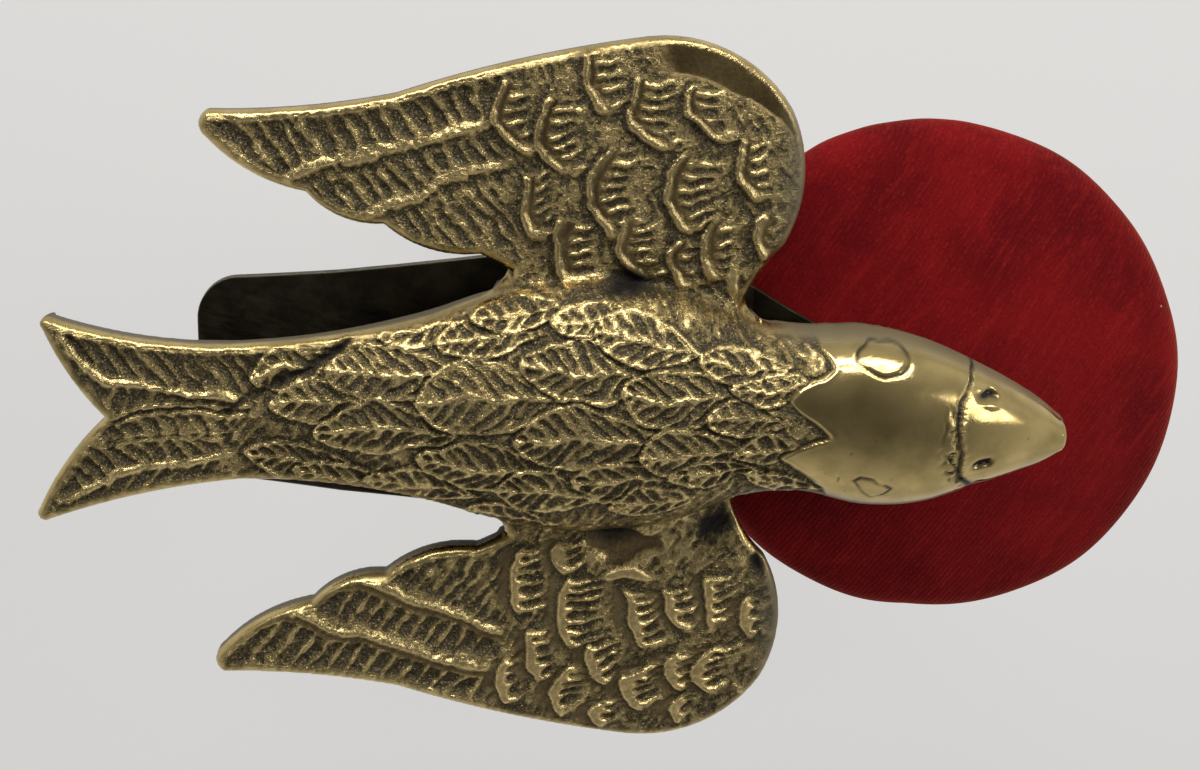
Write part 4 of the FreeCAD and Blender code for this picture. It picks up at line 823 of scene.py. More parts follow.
def top_faces(form, x, y, kept):
    """Squares inside the outline, and triangles where it cuts a square's corner."""
    index = np.arange(kept.size).reshape(kept.shape)
    corners = [index[:-1, :-1], index[1:, :-1], index[1:, 1:], index[:-1, 1:]]
    inside = [kept[:-1, :-1], kept[1:, :-1], kept[1:, 1:], kept[:-1, 1:]]
    count = sum(i.astype(int) for i in inside)
    sampler = GridSampler(form)
    flat_x, flat_y = x.ravel(), y.ravel()
    faces = []
    squares = np.stack([c[count == 4] for c in corners], axis=1)
    middle = sampler.read(form.depth, flat_x[squares].mean(1), flat_y[squares].mean(1))
    faces += squares[middle > 0].tolist()
    for missing in range(4):
        cut = (count == 3) & ~inside[missing]
        triangle = np.stack([corners[(missing + k) % 4][cut] for k in (1, 2, 3)], axis=1)
        middle = sampler.read(form.depth, flat_x[triangle].mean(1), flat_y[triangle].mean(1))
        faces += triangle[middle > 0].tolist()
    return faces


def rim_loop(faces):
    """The single loop of edges that only one face uses, longest if there are several."""
    edges = set()
    for face in faces:
        for a, b in zip(face, face[1:] + face[:1]):
            edges.add((a, b))
    following = {a: b for a, b in edges if (b, a) not in edges}
    loops = []
    while following:
        start, here = following.popitem()
        loop = [start]
        while here != start:
            loop.append(here)
            here = following.pop(here)
        loops.append(loop)
    return max(loops, key=len)


def even_directions(dx, dy, reach=5):
    """Directions along a closed loop, averaged over their neighbours."""
    for _ in range(2):
        dx = sum(np.roll(dx, k) for k in range(-reach, reach + 1))
        dy = sum(np.roll(dy, k) for k in range(-reach, reach + 1))
        size = np.hypot(dx, dy)
        dx, dy = dx / size, dy / size
    return dx, dy


def bird_mesh():
    """The bird as one closed mesh: relief on top, rounded sides and a plain underside."""
    form = BirdForm()
    relief = bird_relief(form)
    x, y, kept, nx, ny = snapped_points(form)
    faces = top_faces(form, x, y, kept)
    loop = rim_loop(faces)
    surface = form.top + relief.height
    used = np.unique(np.concatenate([np.array(f) for f in faces]))
    new_index = {int(old): k for k, old in enumerate(used)}
    flat_x, flat_y = x.ravel()[used], y.ravel()[used]
    sampler = GridSampler(form)
    points = list(zip(flat_x, flat_y, sampler.read(surface, flat_x, flat_y)))
    faces = [[new_index[i] for i in face] for face in faces]
    loop_x, loop_y = x.ravel()[loop], y.ravel()[loop]
    in_x, in_y = even_directions(nx.ravel()[loop], ny.ravel()[loop])
    top = sampler.read(surface, loop_x, loop_y)
    under = sampler.read(form.under, loop_x, loop_y)
    nearer_trunk = form.trunk - np.maximum(form.wing, form.tail)
    on_trunk = smooth_step(-0.5, 1.5, sampler.read(nearer_trunk, loop_x, loop_y))
    inset = UNDER_ROUND + (TRUNK_FOOT * sampler.read(form.half, loop_x, loop_y) - UNDER_ROUND) * on_trunk
    inset = np.minimum(inset, SIDE_INSET_LIMIT)
    inset *= 1 - 0.8 * smooth_step(44.0, 46.0, loop_x)
    for _ in range(8):
        reached = sampler.read(form.depth, loop_x + in_x * inset, loop_y + in_y * inset)
        inset = np.where(reached < 0.9 * inset - 0.02, 0.7 * inset, inset)
    power = 4 - 2 * on_trunk
    count = len(loop)
    previous = [new_index[i] for i in loop]
    for ring in range(1, SIDE_RINGS + 1):
        f = ring / SIDE_RINGS
        shift = inset * f ** power
        first = len(points)
        points += zip(loop_x + in_x * shift, loop_y + in_y * shift, top + (under - top) * f)
        current = list(range(first, first + count))
        for k in range(count):
            n = (k + 1) % count
            faces.append([previous[n], previous[k], current[k], current[n]])
        previous = current
    edge = [Vector(points[i][:2]) for i in previous]
    columns = np.arange(-55, 46, UNDER_SPACING)
    lines = np.arange(-37, 37, UNDER_SPACING)
    inner_x, inner_y = np.meshgrid(columns, lines, indexing="ij")
    room = sampler.read(form.depth, inner_x, inner_y) > UNDER_MARGIN
    inner = [Vector(p) for p in zip(inner_x[room], inner_y[room])]
    flat, _, triangles, origin, _, _ = delaunay_2d_cdt(
        edge + inner, [(k, (k + 1) % count) for k in range(count)], [], 1, 1e-7)
    place = {}
    for k, v in enumerate(flat):
        sources = [s for s in origin[k] if s < count]
        if sources:
            place[k] = previous[sources[0]]
        else:
            place[k] = len(points)
            points.append((v.x, v.y, float(sampler.read(form.under, np.array([v.x]), np.array([v.y]))[0])))
    for triangle in triangles:
        faces.append([place[k] for k in reversed(triangle)])
    hollow = blurred(relief.height, 0.9) - relief.height
    hollow = smooth_step(-0.17, 0.20, hollow + 0.08 * (patchy(form.x, form.y, 3.0, 41) - 0.5))
    return form, relief, sampler, points, faces, hollow


def mesh_object(name, points, faces, smooth=True):
    """A new object from points in millimetres, in the row frame."""
    mesh = bpy.data.meshes.new(name)
    mesh.from_pydata([(px * MM, py * MM, pz * MM) for px, py, pz in points], [], faces)
    mesh.validate()
    if smooth:
        mesh.shade_smooth()
    obj = bpy.data.objects.new(name, mesh)
    bpy.context.scene.collection.objects.link(obj)
    return obj


def helper_box(x0, x1, y0, y1, z0, z1):
    corners = [(a, b, c) for a in (x0, x1) for b in (y0, y1) for c in (z0, z1)]
    faces = [(0, 1, 3, 2), (4, 6, 7, 5), (0, 4, 5, 1), (2, 3, 7, 6), (0, 2, 6, 4), (1, 5, 7, 3)]
    return mesh_object("helper", corners, faces, False)


def helper_bar(radius, y0, y1, x, z, sides=40):
    """A round bar along Y."""
    points = []
    for y in (y0, y1):
        points += [(x + radius * math.cos(turn), y, z + radius * math.sin(turn)) for turn in turns_of(sides)]
    faces = [[k, (k + 1) % sides, sides + (k + 1) % sides, sides + k] for k in range(sides)]
    faces += [list(range(sides))[::-1], list(range(sides, 2 * sides))]
    return mesh_object("helper", points, faces, False)


def combine(obj, tool, operation):
    """Adds a helper to an object or cuts it away, and deletes the helper."""
    modifier = obj.modifiers.new("combine", "BOOLEAN")
    modifier.operation = operation
    modifier.solver = "MANIFOLD"
    modifier.object = tool
    depsgraph = bpy.context.evaluated_depsgraph_get()
    result = bpy.data.meshes.new_from_object(obj.evaluated_get(depsgraph))
    obj.modifiers.remove(modifier)
    old = obj.data
    obj.data = result
    bpy.data.meshes.remove(old)
    bpy.data.objects.remove(tool)


def consistent_normals(obj):
    edit = bmesh.new()
    edit.from_mesh(obj.data)
    bmesh.ops.recalc_face_normals(edit, faces=edit.faces)
    loose = sum(1 for e in edit.edges if not e.is_manifold)
    print(obj.name, "faces", len(edit.faces), "open edges", loose)
    edit.to_mesh(obj.data)
    edit.free()


def build_bird():
    """Makes the bird, hollows its belly, adds the lugs and bores them for the hinge pin."""
    form, relief, sampler, points, faces, hollow = bird_mesh()
    bird = mesh_object("bird", [(px, py, pz + WING_PLANE) for px, py, pz in points], faces)
    consistent_normals(bird)
    roof = WING_PLANE + HOLLOW_ROOF
    under = WING_PLANE - 8
    pin_x = (PIN_LOW.x + PIN_HIGH.x) / 2
    pin_z = (PIN_LOW.z + PIN_HIGH.z) / 2
    lug_out = EARS_HIGH.y - EAR_THICK - LUG_GAP
    lug_in = lug_out - LUG_THICK
    combine(bird, helper_box(HOLLOW_REAR_X, HOLLOW_FRONT_X, -HOLLOW_HALF_WIDTH, HOLLOW_HALF_WIDTH,
                             under, roof), "DIFFERENCE")
    combine(bird, helper_box(MOUTH_X, MOUTH_X + 12, -9, 9, under, WING_PLANE + MOUTH_ROOF), "DIFFERENCE")
    for side in (-1, 1):
        near, far = sorted((side * lug_in, side * lug_out))
        combine(bird, helper_box(pin_x - LUG_RADIUS, pin_x + LUG_RADIUS, near, far, pin_z,
                                 roof + LUG_INTO_ROOF), "UNION")
        combine(bird, helper_bar(LUG_RADIUS, near, far, pin_x, pin_z), "UNION")
    combine(bird, helper_bar(PIN_RADIUS + PIN_GAP, -EARS_HIGH.y, EARS_HIGH.y, pin_x, pin_z), "DIFFERENCE")
    way = (PIN_HIGH.z - PIN_LOW.z) / 2 + 0.3
    combine(bird, helper_bar(way, EARS_HIGH.y, EARS_HIGH.y + 9, pin_x, pin_z), "DIFFERENCE")
    mark_bird(bird, form, relief, sampler, hollow)
    return bird


def mark_bird(bird, form, relief, sampler, hollow):
    """Stores the hollows, marks and side walls at each point, for the brass to read; the side walls carry
    painted shade.
    """
    mesh = bird.data
    place = np.zeros(len(mesh.vertices) * 3)
    mesh.vertices.foreach_get("co", place)
    place = place.reshape(-1, 3) / MM
    x, y, z = place[:, 0], place[:, 1], place[:, 2] - WING_PLANE
    surface = sampler.read(form.top + relief.height, x, y)
    on_top = smooth_step(-0.8, -0.1, z - surface)
    marks = [
        ("hollow", hollow, 0.55),
        ("polish", relief.polish, 0.15),
        ("pale", relief.pale, 0.0),
        ("black", relief.black, 0.15),
        ("brown", relief.brown, 0.1),
    ]
    for name, grid, below in marks:
        values = sampler.read(grid, x, y) * on_top + below * (1 - on_top)
        attribute = mesh.attributes.new(name, "FLOAT", "POINT")
        attribute.data.foreach_set("value", values.astype(np.float32))
    # Side walls and the steep sides of the head are marked for painted shade, which the brass darkens as if
    # they were turned from the light.
    attribute = mesh.attributes.new("flank_painted_shade", "FLOAT", "POINT")
    steep = smooth_step(0.80, 0.96, sampler.read(form.trunk_share, x, y)) * smooth_step(15.0, 19.0, x)
    attribute.data.foreach_set("value", np.maximum(1 - on_top, 0.9 * steep).astype(np.float32))
    mesh.shade_smooth()


class Finish:
    """A material, with short calls for the nodes that the finishes share. Sizes are millimetres."""

    def __init__(self, name, **sockets):
        self.material = bpy.data.materials.new(name)
        self.material.use_nodes = True
        self.nodes = self.material.node_tree.nodes
        self.links = self.material.node_tree.links
        self.shader = self.nodes["Principled BSDF"]
        for socket, value in sockets.items():
            self.shader.inputs[socket.replace("_", " ")].default_value = value
        coordinates = self.nodes.new("ShaderNodeTexCoord")
        scale = self.nodes.new("ShaderNodeMapping")
        scale.inputs["Scale"].default_value = (1 / MM, 1 / MM, 1 / MM)
        self.links.new(coordinates.outputs["Object"], scale.inputs["Vector"])
        self.place = scale.outputs["Vector"]

    def put(self, node, socket, value):
        if isinstance(value, bpy.types.NodeSocket):
            self.links.new(value, node.inputs[socket])
        elif isinstance(value, tuple) and len(value) == 3 and node.inputs[socket].type == "RGBA":
            node.inputs[socket].default_value = (*value, 1)
        else:
            node.inputs[socket].default_value = value

    def node(self, kind, **sockets):
        """A new node with its inputs joined or set."""
        node = self.nodes.new("ShaderNode" + kind)
        for socket, value in sockets.items():
            self.put(node, socket.replace("_", " "), value)
        return node

    def noise(self, size, detail=3.0, roughness=0.5, place=None):
        node = self.node("TexNoise", Vector=place or self.place, Scale=1 / size, Detail=detail,
                         Roughness=roughness)
        return node.outputs["Fac"]

    def cells(self, size):
        return self.node("TexVoronoi", Vector=self.place, Scale=1 / size).outputs["Distance"]

    def stretched(self, scale, turn=(0, 0, 0)):
        """The place, turned and then scaled, for streaks and rows."""
        turned = self.node("Mapping", Vector=self.place, Rotation=turn)
        return self.node("Mapping", Vector=turned.outputs["Vector"], Scale=scale).outputs["Vector"]

    def rows(self, size, turn, waver):
        place = self.stretched((1, 1, 1), turn)
        node = self.node("TexWave", Vector=place, Scale=0.314 / size, Distortion=waver, Detail=1.0)
        return node.outputs["Fac"]

    def stored(self, name):
        node = self.nodes.new("ShaderNodeAttribute")
        node.attribute_name = name
        return node.outputs["Fac"]

    def math(self, operation, a, b=0.0):
        node = self.nodes.new("ShaderNodeMath")
        node.operation = operation
        node.use_clamp = True
        self.put(node, 0, a)
        self.put(node, 1, b)
        return node.outputs[0]

    def times(self, a, b):
        return self.math("MULTIPLY", a, b)

    def plus(self, a, b):
        return self.math("ADD", a, b)

    def ramp(self, value, low, high, start=0.0, end=1.0):
        """Maps low..high smoothly to start..end."""
        node = self.node("MapRange", From_Min=low, From_Max=high, To_Min=start, To_Max=end)
        node.interpolation_type = "SMOOTHSTEP"
        self.put(node, "Value", value)
        return node.outputs["Result"]

    def mix(self, share, a, b):
        node = self.nodes.new("ShaderNodeMix")
        node.data_type = "RGBA"
        self.put(node, 0, share)
        self.put(node, 6, a)
        self.put(node, 7, b)
        return node.outputs[2]

    def worn_edges(self, radius):
        """1 on edges sharper than the radius, 0 on faces."""
        bevel = self.node("Bevel", Radius=radius * MM)
        bevel.samples = 6
        facing = self.nodes.new("ShaderNodeNewGeometry")
        dot = self.nodes.new("ShaderNodeVectorMath")
        dot.operation = "DOT_PRODUCT"
        self.links.new(bevel.outputs["Normal"], dot.inputs[0])
        self.links.new(facing.outputs["Normal"], dot.inputs[1])
        return self.ramp(dot.outputs["Value"], 0.99, 0.80)

    def bump(self, height, depth):
        return self.node("Bump", Strength=1.0, Distance=depth * MM, Height=height).outputs["Normal"]

    def wire(self, **sockets):
        for socket, value in sockets.items():
            self.links.new(value, self.shader.inputs[socket.replace("_", " ")])
        return self.material


def bird_brass():
    """Cast brass: pale worn ridges, olive middle tones, brown-black hollows and gritty pits, with painted
    glints in the grit and painted shade on the side walls.
    """
    f = Finish("bird_brass")
    hollow, polish, black = f.stored("hollow"), f.stored("polish"), f.stored("black")
    brown, flank_painted_shade, pale = f.stored("brown"), f.stored("flank_painted_shade"), f.stored("pale")
    cloud = f.noise(5.0, 4.0, 0.6)
    grain = f.noise(0.30, 4.0, 0.68)
    sand = f.noise(0.55, 3.0, 0.6)
    glint = f.noise(0.19, 2.0, 0.6)
    pits = f.ramp(grain, 0.56, 0.70)
    rough_share = f.math("SUBTRACT", 1.0, f.times(polish, 1.1))
    hollow = f.plus(hollow, f.times(f.ramp(sand, 0.42, 0.72, -0.10, 0.26), rough_share))
    ridge = f.mix(cloud, (0.80, 0.62, 0.28), (0.66, 0.50, 0.22))
    worn = f.mix(f.ramp(cloud, 0.3, 0.7), (0.38, 0.285, 0.12), (0.25, 0.19, 0.085))
    low = f.mix(f.ramp(grain, 0.35, 0.6), (0.125, 0.096, 0.045), (0.045, 0.035, 0.018))
    colour = f.mix(f.ramp(hollow, 0.06, 0.38), ridge, worn)
    colour = f.mix(f.ramp(hollow, 0.36, 0.86), colour, low)
    # Painted glints: pale specks in the rough brass stand in for sparkle off its grit, and are made a little
    # less rough.
    painted_glints = f.times(f.ramp(glint, 0.57, 0.66), rough_share)
    colour = f.mix(f.times(painted_glints, 0.55), colour, (0.70, 0.56, 0.27))
    smooth = f.mix(f.ramp(f.noise(3.2, 3.0), 0.35, 0.7), (0.60, 0.455, 0.19), (0.43, 0.325, 0.13))
    colour = f.mix(f.times(polish, 0.9), colour, smooth)
    colour = f.mix(pale, colour, f.mix(f.ramp(sand, 0.35, 0.65), (0.84, 0.63, 0.28), (0.58, 0.43, 0.18)))
    colour = f.mix(f.times(brown, 0.95), colour, (0.15, 0.098, 0.042))
    dark_pits = f.times(f.times(pits, rough_share), 0.7)
    colour = f.mix(dark_pits, colour, (0.04, 0.03, 0.018))
    # Painted shade: side walls and steep head sides darkened to a dull brown-grey.
    colour = f.mix(f.times(flank_painted_shade, 0.92), colour, (0.135, 0.112, 0.066))
    colour = f.mix(black, colour, (0.014, 0.011, 0.008))
    roughness = f.ramp(hollow, 0.1, 0.9, 0.20, 0.46)
    roughness = f.plus(roughness, f.ramp(grain, 0.3, 0.7, -0.06, 0.14))
    roughness = f.math("SUBTRACT", roughness, f.times(painted_glints, 0.18))
    shine = f.ramp(f.noise(1.6, 4.0, 0.6), 0.35, 0.75, 0.10, 0.19)
    roughness = f.plus(f.times(roughness, f.ramp(polish, 0.7, 1.0, 1.0, 0.0)),
                       f.times(shine, f.ramp(polish, 0.7, 1.0)))
    roughness = f.math("MAXIMUM", roughness, f.times(flank_painted_shade, 0.55))
    roughness = f.math("MAXIMUM", roughness, f.times(pale, 0.42))
    metal = f.ramp(f.math("MAXIMUM", black, f.ramp(hollow, 0.6, 1.0)), 0.2, 1.0, 1.0, 0.55)
    metal = f.math("MINIMUM", metal, f.ramp(flank_painted_shade, 0.0, 1.0, 1.0, 0.30))
    metal = f.math("MINIMUM", metal, f.ramp(pale, 0.0, 1.0, 1.0, 0.85))
    height = f.plus(f.times(grain, 0.45), f.times(sand, 0.35))
    height = f.plus(height, f.times(glint, 0.20))
    height = f.times(height, f.ramp(polish, 0.0, 1.0, 1.0, 0.05))
    height = f.times(height, f.ramp(hollow, 0.05, 0.55, 0.35, 1.0))
    return f.wire(Base_Color=colour, Roughness=roughness, Metallic=metal, Normal=f.bump(height, 0.38))


def plain_brass(name, bright, dull, rough, lines=None, grain=0.02):
    """Machined, sheet or cast brass with a soft tarnish, lighter worn edges and fine tool lines or grain."""
    f = Finish(name, Metallic=1.0)
    cloud = f.ramp(f.noise(9.0, 3.0, 0.5), 0.25, 0.75)
    spots = f.ramp(f.noise(1.1, 4.0, 0.65), 0.60, 0.78)
    edge = f.times(f.worn_edges(0.35), 0.7)
    colour = f.mix(cloud, bright, dull)
    colour = f.mix(f.times(spots, 0.45), colour, tuple(0.45 * c for c in dull))
    colour = f.mix(edge, colour, tuple(min(1.0, 1.3 * c) for c in bright))
    streaks = f.noise(0.12, 2.0, 0.5, f.stretched(lines)) if lines else f.noise(0.45, 4.0, 0.65)
    uneven = f.ramp(streaks, 0.3, 0.7, -0.04, 0.06)
    roughness = f.plus(f.ramp(cloud, 0.0, 1.0, rough, rough + 0.08), uneven)
    return f.wire(Base_Color=colour, Roughness=roughness, Normal=f.bump(streaks, grain))


def dark_plate():
    """The jaw plate: thin sheet brass, nearly black partly from tarnish and partly as painted shade from the
    bird above it, rubbed bright along its edge.
    """
    f = Finish("dark_plate", Metallic=1.0)
    cloud = f.ramp(f.noise(3.5, 5.0, 0.65), 0.35, 0.75)
    streaks = f.noise(0.5, 3.0, 0.6, f.stretched((0.15, 1, 1), (0, 0, 0.3)))
    edge = f.times(f.worn_edges(0.30), f.ramp(f.noise(2.0), 0.25, 0.6, 0.35, 1.0))
    # Painted shade: nearly black, partly tarnish and partly the shade the bird casts on the plate.
    colour = f.mix(cloud, (0.040, 0.034, 0.026), (0.095, 0.078, 0.050))
    colour = f.mix(edge, colour, (0.60, 0.50, 0.30))
    roughness = f.ramp(streaks, 0.3, 0.7, 0.38, 0.55)
    return f.wire(Base_Color=colour, Roughness=roughness, Normal=f.bump(streaks, 0.02))


def steel(name, tone, rough):
    """Grey steel with faint drawn lines and darker rubbed spots."""
    f = Finish(name, Metallic=1.0)
    cloud = f.ramp(f.noise(1.5, 4.0, 0.6), 0.4, 0.75)
    edge = f.times(f.worn_edges(0.2), 0.6)
    colour = f.mix(cloud, (tone, tone, tone * 0.98), (tone * 0.55, tone * 0.52, tone * 0.48))
    colour = f.mix(edge, colour, (0.75, 0.75, 0.73))
    streaks = f.noise(0.15, 2.0, 0.5, f.stretched((1, 1, 0.1)))
    return f.wire(Base_Color=colour, Roughness=f.ramp(cloud, 0.0, 1.0, rough, rough + 0.2),
                  Normal=f.bump(streaks, 0.015))


def velvet():
    """Deep red velvet: fine slanting rows of pile, soft orange sheen at the rim, a few specks of lint."""
    f = Finish("red_velvet", Roughness=0.85, Sheen_Weight=0.65, Sheen_Roughness=0.28,
               Sheen_Tint=(1.0, 0.20, 0.09, 1), Specular_IOR_Level=0.12)
    slant = (0, 0, math.radians(33))
    rows = f.rows(0.52, slant, 2.0)
    pile = f.noise(0.20, 3.0, 0.65)
    tufts = f.noise(0.42, 2.0, 0.6)
    brushed = f.ramp(f.noise(11.0, 3.0, 0.55), 0.32, 0.68)
    streak = f.noise(0.8, 3.0, 0.6, f.stretched((1, 0.10, 1), slant))
    colour = f.mix(brushed, (0.135, 0.0016, 0.0035), (0.24, 0.0045, 0.006))
    colour = f.mix(f.ramp(streak, 0.45, 0.80, 0.0, 0.6), colour, (0.33, 0.012, 0.010))
    dots = f.times(f.ramp(rows, 0.1, 0.9), f.ramp(tufts, 0.45, 0.7))
    colour = f.mix(f.times(dots, 0.35), colour, (0.42, 0.020, 0.014))
    colour = f.mix(f.ramp(pile, 0.50, 0.30, 0.0, 0.65), colour, (0.055, 0.0008, 0.0016))
    lint = f.ramp(f.cells(10.5), 0.020, 0.012)
    colour = f.mix(lint, colour, (0.66, 0.52, 0.46))
    height = f.plus(f.times(rows, 0.25), f.times(pile, 0.75))
    return f.wire(Base_Color=colour, Normal=f.bump(height, 0.14))


def card():
    """Grey-brown strawboard, flecked."""
    f = Finish("card", Roughness=0.85)
    fleck = f.noise(0.6, 4.0, 0.7)
    colour = f.mix(f.ramp(fleck, 0.35, 0.7), (0.36, 0.29, 0.20), (0.52, 0.44, 0.32))
    return f.wire(Base_Color=colour, Normal=f.bump(fleck, 0.05))


def dress_nodes():
    """Gives every carried-over node its finish."""
    cast = plain_brass("clamp_brass", (0.50, 0.385, 0.18), (0.40, 0.305, 0.14), 0.34, None, 0.16)
    sheet = plain_brass("sheet_brass", (0.50, 0.39, 0.19), (0.38, 0.30, 0.145), 0.32, (0.2, 1, 1))
    spun = plain_brass("turned_brass", (0.60, 0.47, 0.235), (0.48, 0.375, 0.18), 0.26, (0.15, 0.15, 1))
    dark_steel = steel("dark_steel", 0.30, 0.34)
    finishes = {
        dark_plate(): ["jaw_plate", "hinge_bracket"],
        cast: ["clamp_frame", "thumb_wing"],
        sheet: ["cushion_arm"],
        spun: ["pedestal", "cup_stem", "cushion_cup", "clamp_pad", "pad_retainer", "spring_post",
               "bracket_rivets"],
        dark_steel: ["hinge_pin", "pedestal_screw", "arm_screw", "cup_screw", "cup_nut", "thumb_pin",
                     "clamp_screw", "tail_spring"],
        card(): ["cushion_card"],
    }
    for finish, names in finishes.items():
        for name in names:
            node = NODES[name]
            node.data.materials.clear()
            node.data.materials.append(finish)
    return dark_steel


def swept_rows(name, rows):
    """A mesh skinned over rings of points that all have the same count, closed at both ends."""
    count = len(rows[0])
    points = [p for row in rows for p in row]
    faces = []
    for r in range(len(rows) - 1):
        for k in range(count):
            n = (k + 1) % count
            faces.append([r * count + k, r * count + n, (r + 1) * count + n, (r + 1) * count + k])
    faces.append(list(range(count))[::-1])
    faces.append(list(range((len(rows) - 1) * count, len(rows) * count)))
    return mesh_object(name, points, faces)


def cushion_profile():
    """Radius and height from the crown's middle down to the foot."""
    radius = (CUSHION_HIGH.x - CUSHION_LOW.x) / 2
    middle = radius - CUSHION_SIDE
    edge_r = middle + CUSHION_SIDE * math.cos(CUSHION_OVER_TURN)
    edge_z = CUSHION_EQUATOR + CUSHION_SIDE * math.sin(CUSHION_OVER_TURN)
    rise = CUSHION_EQUATOR + CUSHION_CROWN - edge_z
    dome = (edge_r ** 2 + rise ** 2) / (2 * rise)
    profile = []
    for k in range(1, CROWN_STEPS + 1):
        r = edge_r * k / CROWN_STEPS
        profile.append((r, edge_z + rise - dome + math.sqrt(dome ** 2 - r ** 2)))
    for k in range(1, ROUND_STEPS + 1):
        angle = CUSHION_OVER_TURN - (CUSHION_OVER_TURN + CUSHION_UNDER_TURN) * k / ROUND_STEPS
        profile.append((middle + CUSHION_SIDE * math.cos(angle),
                        CUSHION_EQUATOR + CUSHION_SIDE * math.sin(angle)))
    start = profile[-1]
    for k in range(1, UNDER_STEPS + 1):
        f = k / UNDER_STEPS
        sag = 0.5 * 4 * f * (1 - f)
        profile.append((start[0] + (CUSHION_FOOT - start[0]) * f + 0.4 * sag,
                        start[1] + (CUSHION_LOW.z - start[1]) * f - 0.9 * sag * 0.6))
    return profile


def build_cushion():
    """The velvet cushion: a low crown, full sides, gentle lumps and pleats gathered in underneath."""
    centre = (CUSHION_LOW + CUSHION_HIGH) / 2
    profile = cushion_profile()
    full = profile[CROWN_STEPS + 10][0]
    rows = []
    for radius, height in profile:
        row = []
        for angle in turns_of(CUSHION_SEGMENTS):
            share = min(1.0, radius / full)
            outline = cushion_outline(angle) * share ** 6
            under = max(0.0, (CUSHION_EQUATOR - height) / 6.0)
            pleat = under * (0.22 * math.sin(38 * angle + math.sin(5 * angle)) - 0.12)
            px = centre.x + (radius + outline + pleat) * math.cos(angle)
            py = centre.y + (radius + outline + pleat) * math.sin(angle)
            lump = float(patchy(np.array(px), np.array(py), 9.0, 51)) - 0.5
            lump += 0.4 * (float(patchy(np.array(px), np.array(py), 3.6, 52)) - 0.5)
            row.append((px, py, height + 0.42 * lump * (1 - under) * (1 - share ** 8)))
        rows.append(row)
    cushion = swept_rows("velvet_cushion", rows)
    cushion.data.materials.append(velvet())
    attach(cushion, "frame")
    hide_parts("cushion_velvet", "cushion_stuffing")


def cushion_outline(angle):
    """How far the rim stands in or out of a circle, pulled towards the upper left and lower right."""
    pulled = 0.1 + 0.6 * math.cos(angle) + 0.8 * math.sin(angle) - 1.1 * math.sin(2 * angle)
    ripple = 0.07 * math.sin(7 * angle + 1.0) + 0.05 * math.sin(13 * angle)
    return max(-0.8, pulled) + ripple


def build_spring(finish):
    """The compression coil under the tail, its end turns laid flat."""
    centre = (SPRING_LOW + SPRING_HIGH) / 2
    radius = (SPRING_HIGH.x - SPRING_LOW.x) / 2 - SPRING_WIRE
    low, high = SPRING_LOW.z + SPRING_WIRE, SPRING_HIGH.z - SPRING_WIRE
    steps = SPRING_STEPS * SPRING_TURNS
    rows = []
    for k in range(steps + 1):
        turn = SPRING_TURNS * k / steps
        angle = 2 * math.pi * turn
        f = k / steps
        flat = f - 0.045 * math.sin(4 * math.pi * f)
        middle = Vector((centre.x + radius * math.cos(angle), centre.y + radius * math.sin(angle),
                         low + (high - low) * flat))
        out = Vector((math.cos(angle), math.sin(angle), 0))
        up = Vector((0, 0, 1))
        rows.append([tuple(middle + SPRING_WIRE * (out * math.cos(a) + up * math.sin(a)))
                     for a in turns_of(SPRING_SIDES)])
    spring = swept_rows("coil_spring", rows)
    consistent_normals(spring)
    spring.data.materials.append(finish)
    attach(spring, "frame")
    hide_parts("tail_spring")
    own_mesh(spring)


def build_screw(finish):
    """The clamp screw with a cut thread, a neck and the ball that turns in the pad."""
    radius = (SCREW_HIGH.x - SCREW_LOW.x) / 2
    pad_bottom = node_box("clamp_pad")[0].z
    shoulder = node_box("pad_retainer")[0].z - NECK_LENGTH
    ball_z = SCREW_HIGH.z - BALL_RADIUS
    collar = node_box("thumb_wing")[1].z
    rows = []
    z = SCREW_LOW.z
    while z < shoulder:
        near_end = smooth_step(0.0, 1.2, shoulder - z) * smooth_step(-0.5, 1.0, z - collar)
        row = []
        for s in range(SCREW_SIDES):
            phase = (z / THREAD_PITCH - s / SCREW_SIDES) % 1.0
            groove = THREAD_DEPTH * max(0.0, 1 - abs(phase - 0.5) / 0.42) * float(near_end)
            chamfer = max(0.0, 0.6 - (shoulder - z))
            angle = 2 * math.pi * s / SCREW_SIDES
            r = radius - groove - chamfer
            row.append((r * math.cos(angle), r * math.sin(angle), z))
        rows.append(row)
        z += THREAD_STEP
    profile = [(NECK_RADIUS, shoulder), (NECK_RADIUS, pad_bottom)]
    low_angle = math.asin((pad_bottom - ball_z) / BALL_RADIUS * 0.9)
    for k in range(17):
        angle = low_angle + (math.pi / 2 - low_angle) * k / 16
        profile.append((max(0.02, BALL_RADIUS * math.cos(angle)), ball_z + BALL_RADIUS * math.sin(angle)))
    for r, height in profile:
        rows.append([(r * math.cos(turn), r * math.sin(turn), height) for turn in turns_of(SCREW_SIDES)])
    screw = swept_rows("threaded_screw", rows)
    consistent_normals(screw)
    screw.data.materials.append(finish)
    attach(screw, "screw")
    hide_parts("clamp_screw")


def soft_light(name, place, size, power):
    """A soft box that faces the bird."""
    light = bpy.data.lights.new(name, "AREA")
    light.shape = "RECTANGLE"
    light.size = size[0]
    light.size_y = size[1]
    light.energy = power
    lamp = bpy.data.objects.new(name, light)
    lamp.location = place
    aim = Vector(LIGHT_AIM) - Vector(place)
    lamp.rotation_euler = aim.to_track_quat("-Z", "Y").to_euler()
    bpy.context.scene.collection.objects.link(lamp)


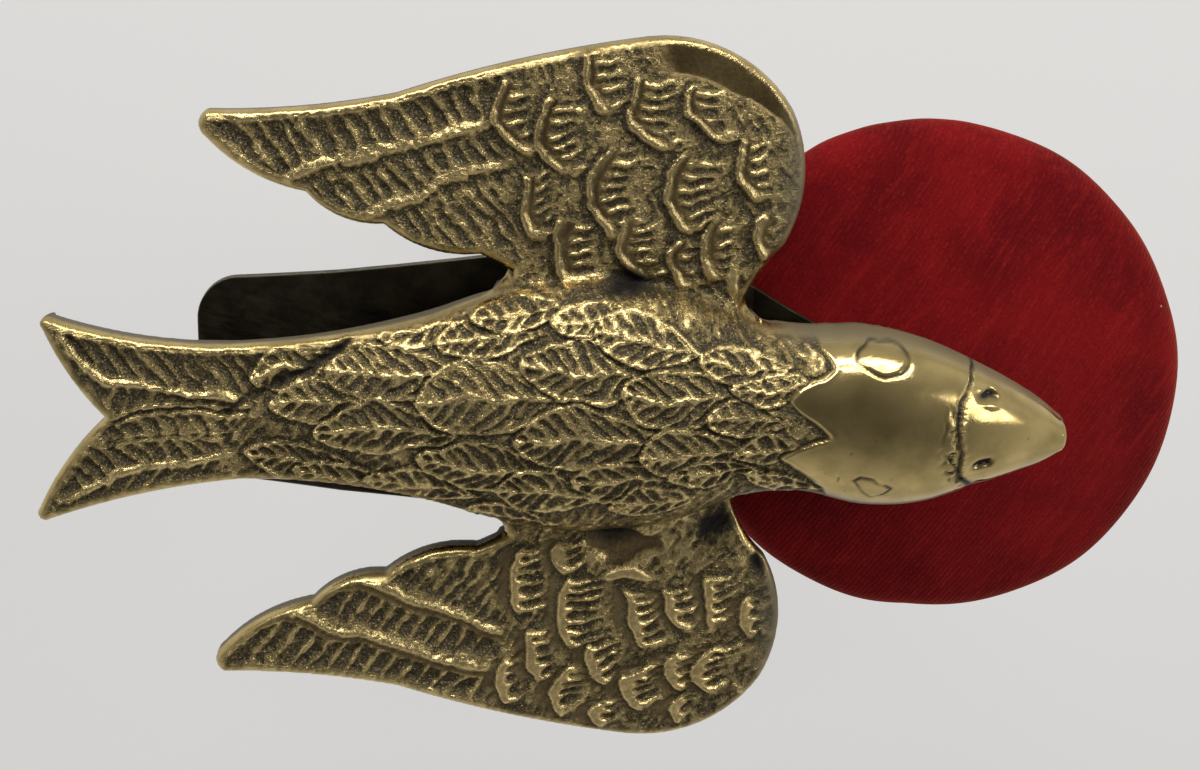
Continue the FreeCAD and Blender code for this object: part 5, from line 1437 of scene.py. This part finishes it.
def light_from_sides(tree):
    """Even surroundings that are brighter near the horizon than overhead."""
    background = tree.nodes["Background"]
    coordinates = tree.nodes.new("ShaderNodeTexCoord")
    split = tree.nodes.new("ShaderNodeSeparateXYZ")
    shade = tree.nodes.new("ShaderNodeValToRGB")
    shade.color_ramp.elements[0].position = 0.15
    shade.color_ramp.elements[0].color = (0.64, 0.64, 0.645, 1)
    shade.color_ramp.elements[1].position = 0.98
    shade.color_ramp.elements[1].color = (0.13, 0.13, 0.133, 1)
    tree.links.new(coordinates.outputs["Generated"], split.inputs["Vector"])
    tree.links.new(split.outputs["Z"], shade.inputs["Fac"])
    tree.links.new(shade.outputs["Color"], background.inputs["Color"])


def pale_floor():
    """A pale floor that keeps the bird's shadow and also looks pale to the camera and in the brass."""
    f = Finish("pale_floor", Roughness=0.9)
    f.put(f.shader, "Base Color", (0.82, 0.81, 0.79))
    path = f.nodes.new("ShaderNodeLightPath")
    seen = f.math("MAXIMUM", path.outputs["Is Camera Ray"], path.outputs["Is Glossy Ray"])
    seen = f.math("MAXIMUM", seen, path.outputs["Is Transmission Ray"])
    glow = f.nodes.new("ShaderNodeEmission")
    f.put(glow, "Color", (0.86, 0.85, 0.83))
    blend = f.nodes.new("ShaderNodeMixShader")
    f.put(blend, "Fac", f.times(seen, 0.5))
    f.links.new(f.shader.outputs["BSDF"], blend.inputs[1])
    f.links.new(glow.outputs["Emission"], blend.inputs[2])
    f.links.new(blend.outputs["Shader"], f.nodes["Material Output"].inputs["Surface"])
    return f.material


def studio():
    """Camera, pale floor, even surroundings and soft lights."""
    scene = bpy.context.scene
    scene.view_settings.view_transform = "Standard"
    camera = bpy.data.cameras.new("camera")
    camera.lens = CAMERA_LENS
    camera.sensor_width = SENSOR_WIDTH
    camera.clip_start = 0.005
    eye = bpy.data.objects.new("camera", camera)
    turn = Matrix((CAMERA_RIGHT, CAMERA_UP, CAMERA_BACK)).transposed()
    eye.matrix_world = Matrix.Translation(Vector(CAMERA_PLACE) * MM) @ turn.to_4x4()
    scene.collection.objects.link(eye)
    scene.camera = eye

    half = FLOOR_HALF
    level = CAD_BOX[0].z - FLOOR_GAP * MM
    mesh = bpy.data.meshes.new("floor")
    mesh.from_pydata([(-half, -half, level), (half, -half, level), (half, half, level), (-half, half, level)],
                     [], [(0, 1, 2, 3)])
    floor = bpy.data.objects.new("floor", mesh)
    scene.collection.objects.link(floor)
    mesh.materials.append(pale_floor())

    world = bpy.data.worlds.new("world")
    scene.world = world
    world.use_nodes = True
    light_from_sides(world.node_tree)
    soft_light("key", (-0.03, 0.40, 0.20), (0.56, 0.035), 0.95)
    soft_light("upper", (0.0, 0.34, 0.26), (0.46, 0.022), 0.40)
    soft_light("side", (0.30, 0.10, 0.22), (0.14, 0.14), 0.22)


def main():
    studio()
    bird = build_bird()
    bird.data.materials.clear()
    bird.data.materials.append(bird_brass())
    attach(bird, "bird")
    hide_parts("bird_casting")
    dark_steel = dress_nodes()
    build_cushion()
    build_spring(dark_steel)
    build_screw(dark_steel)


main()
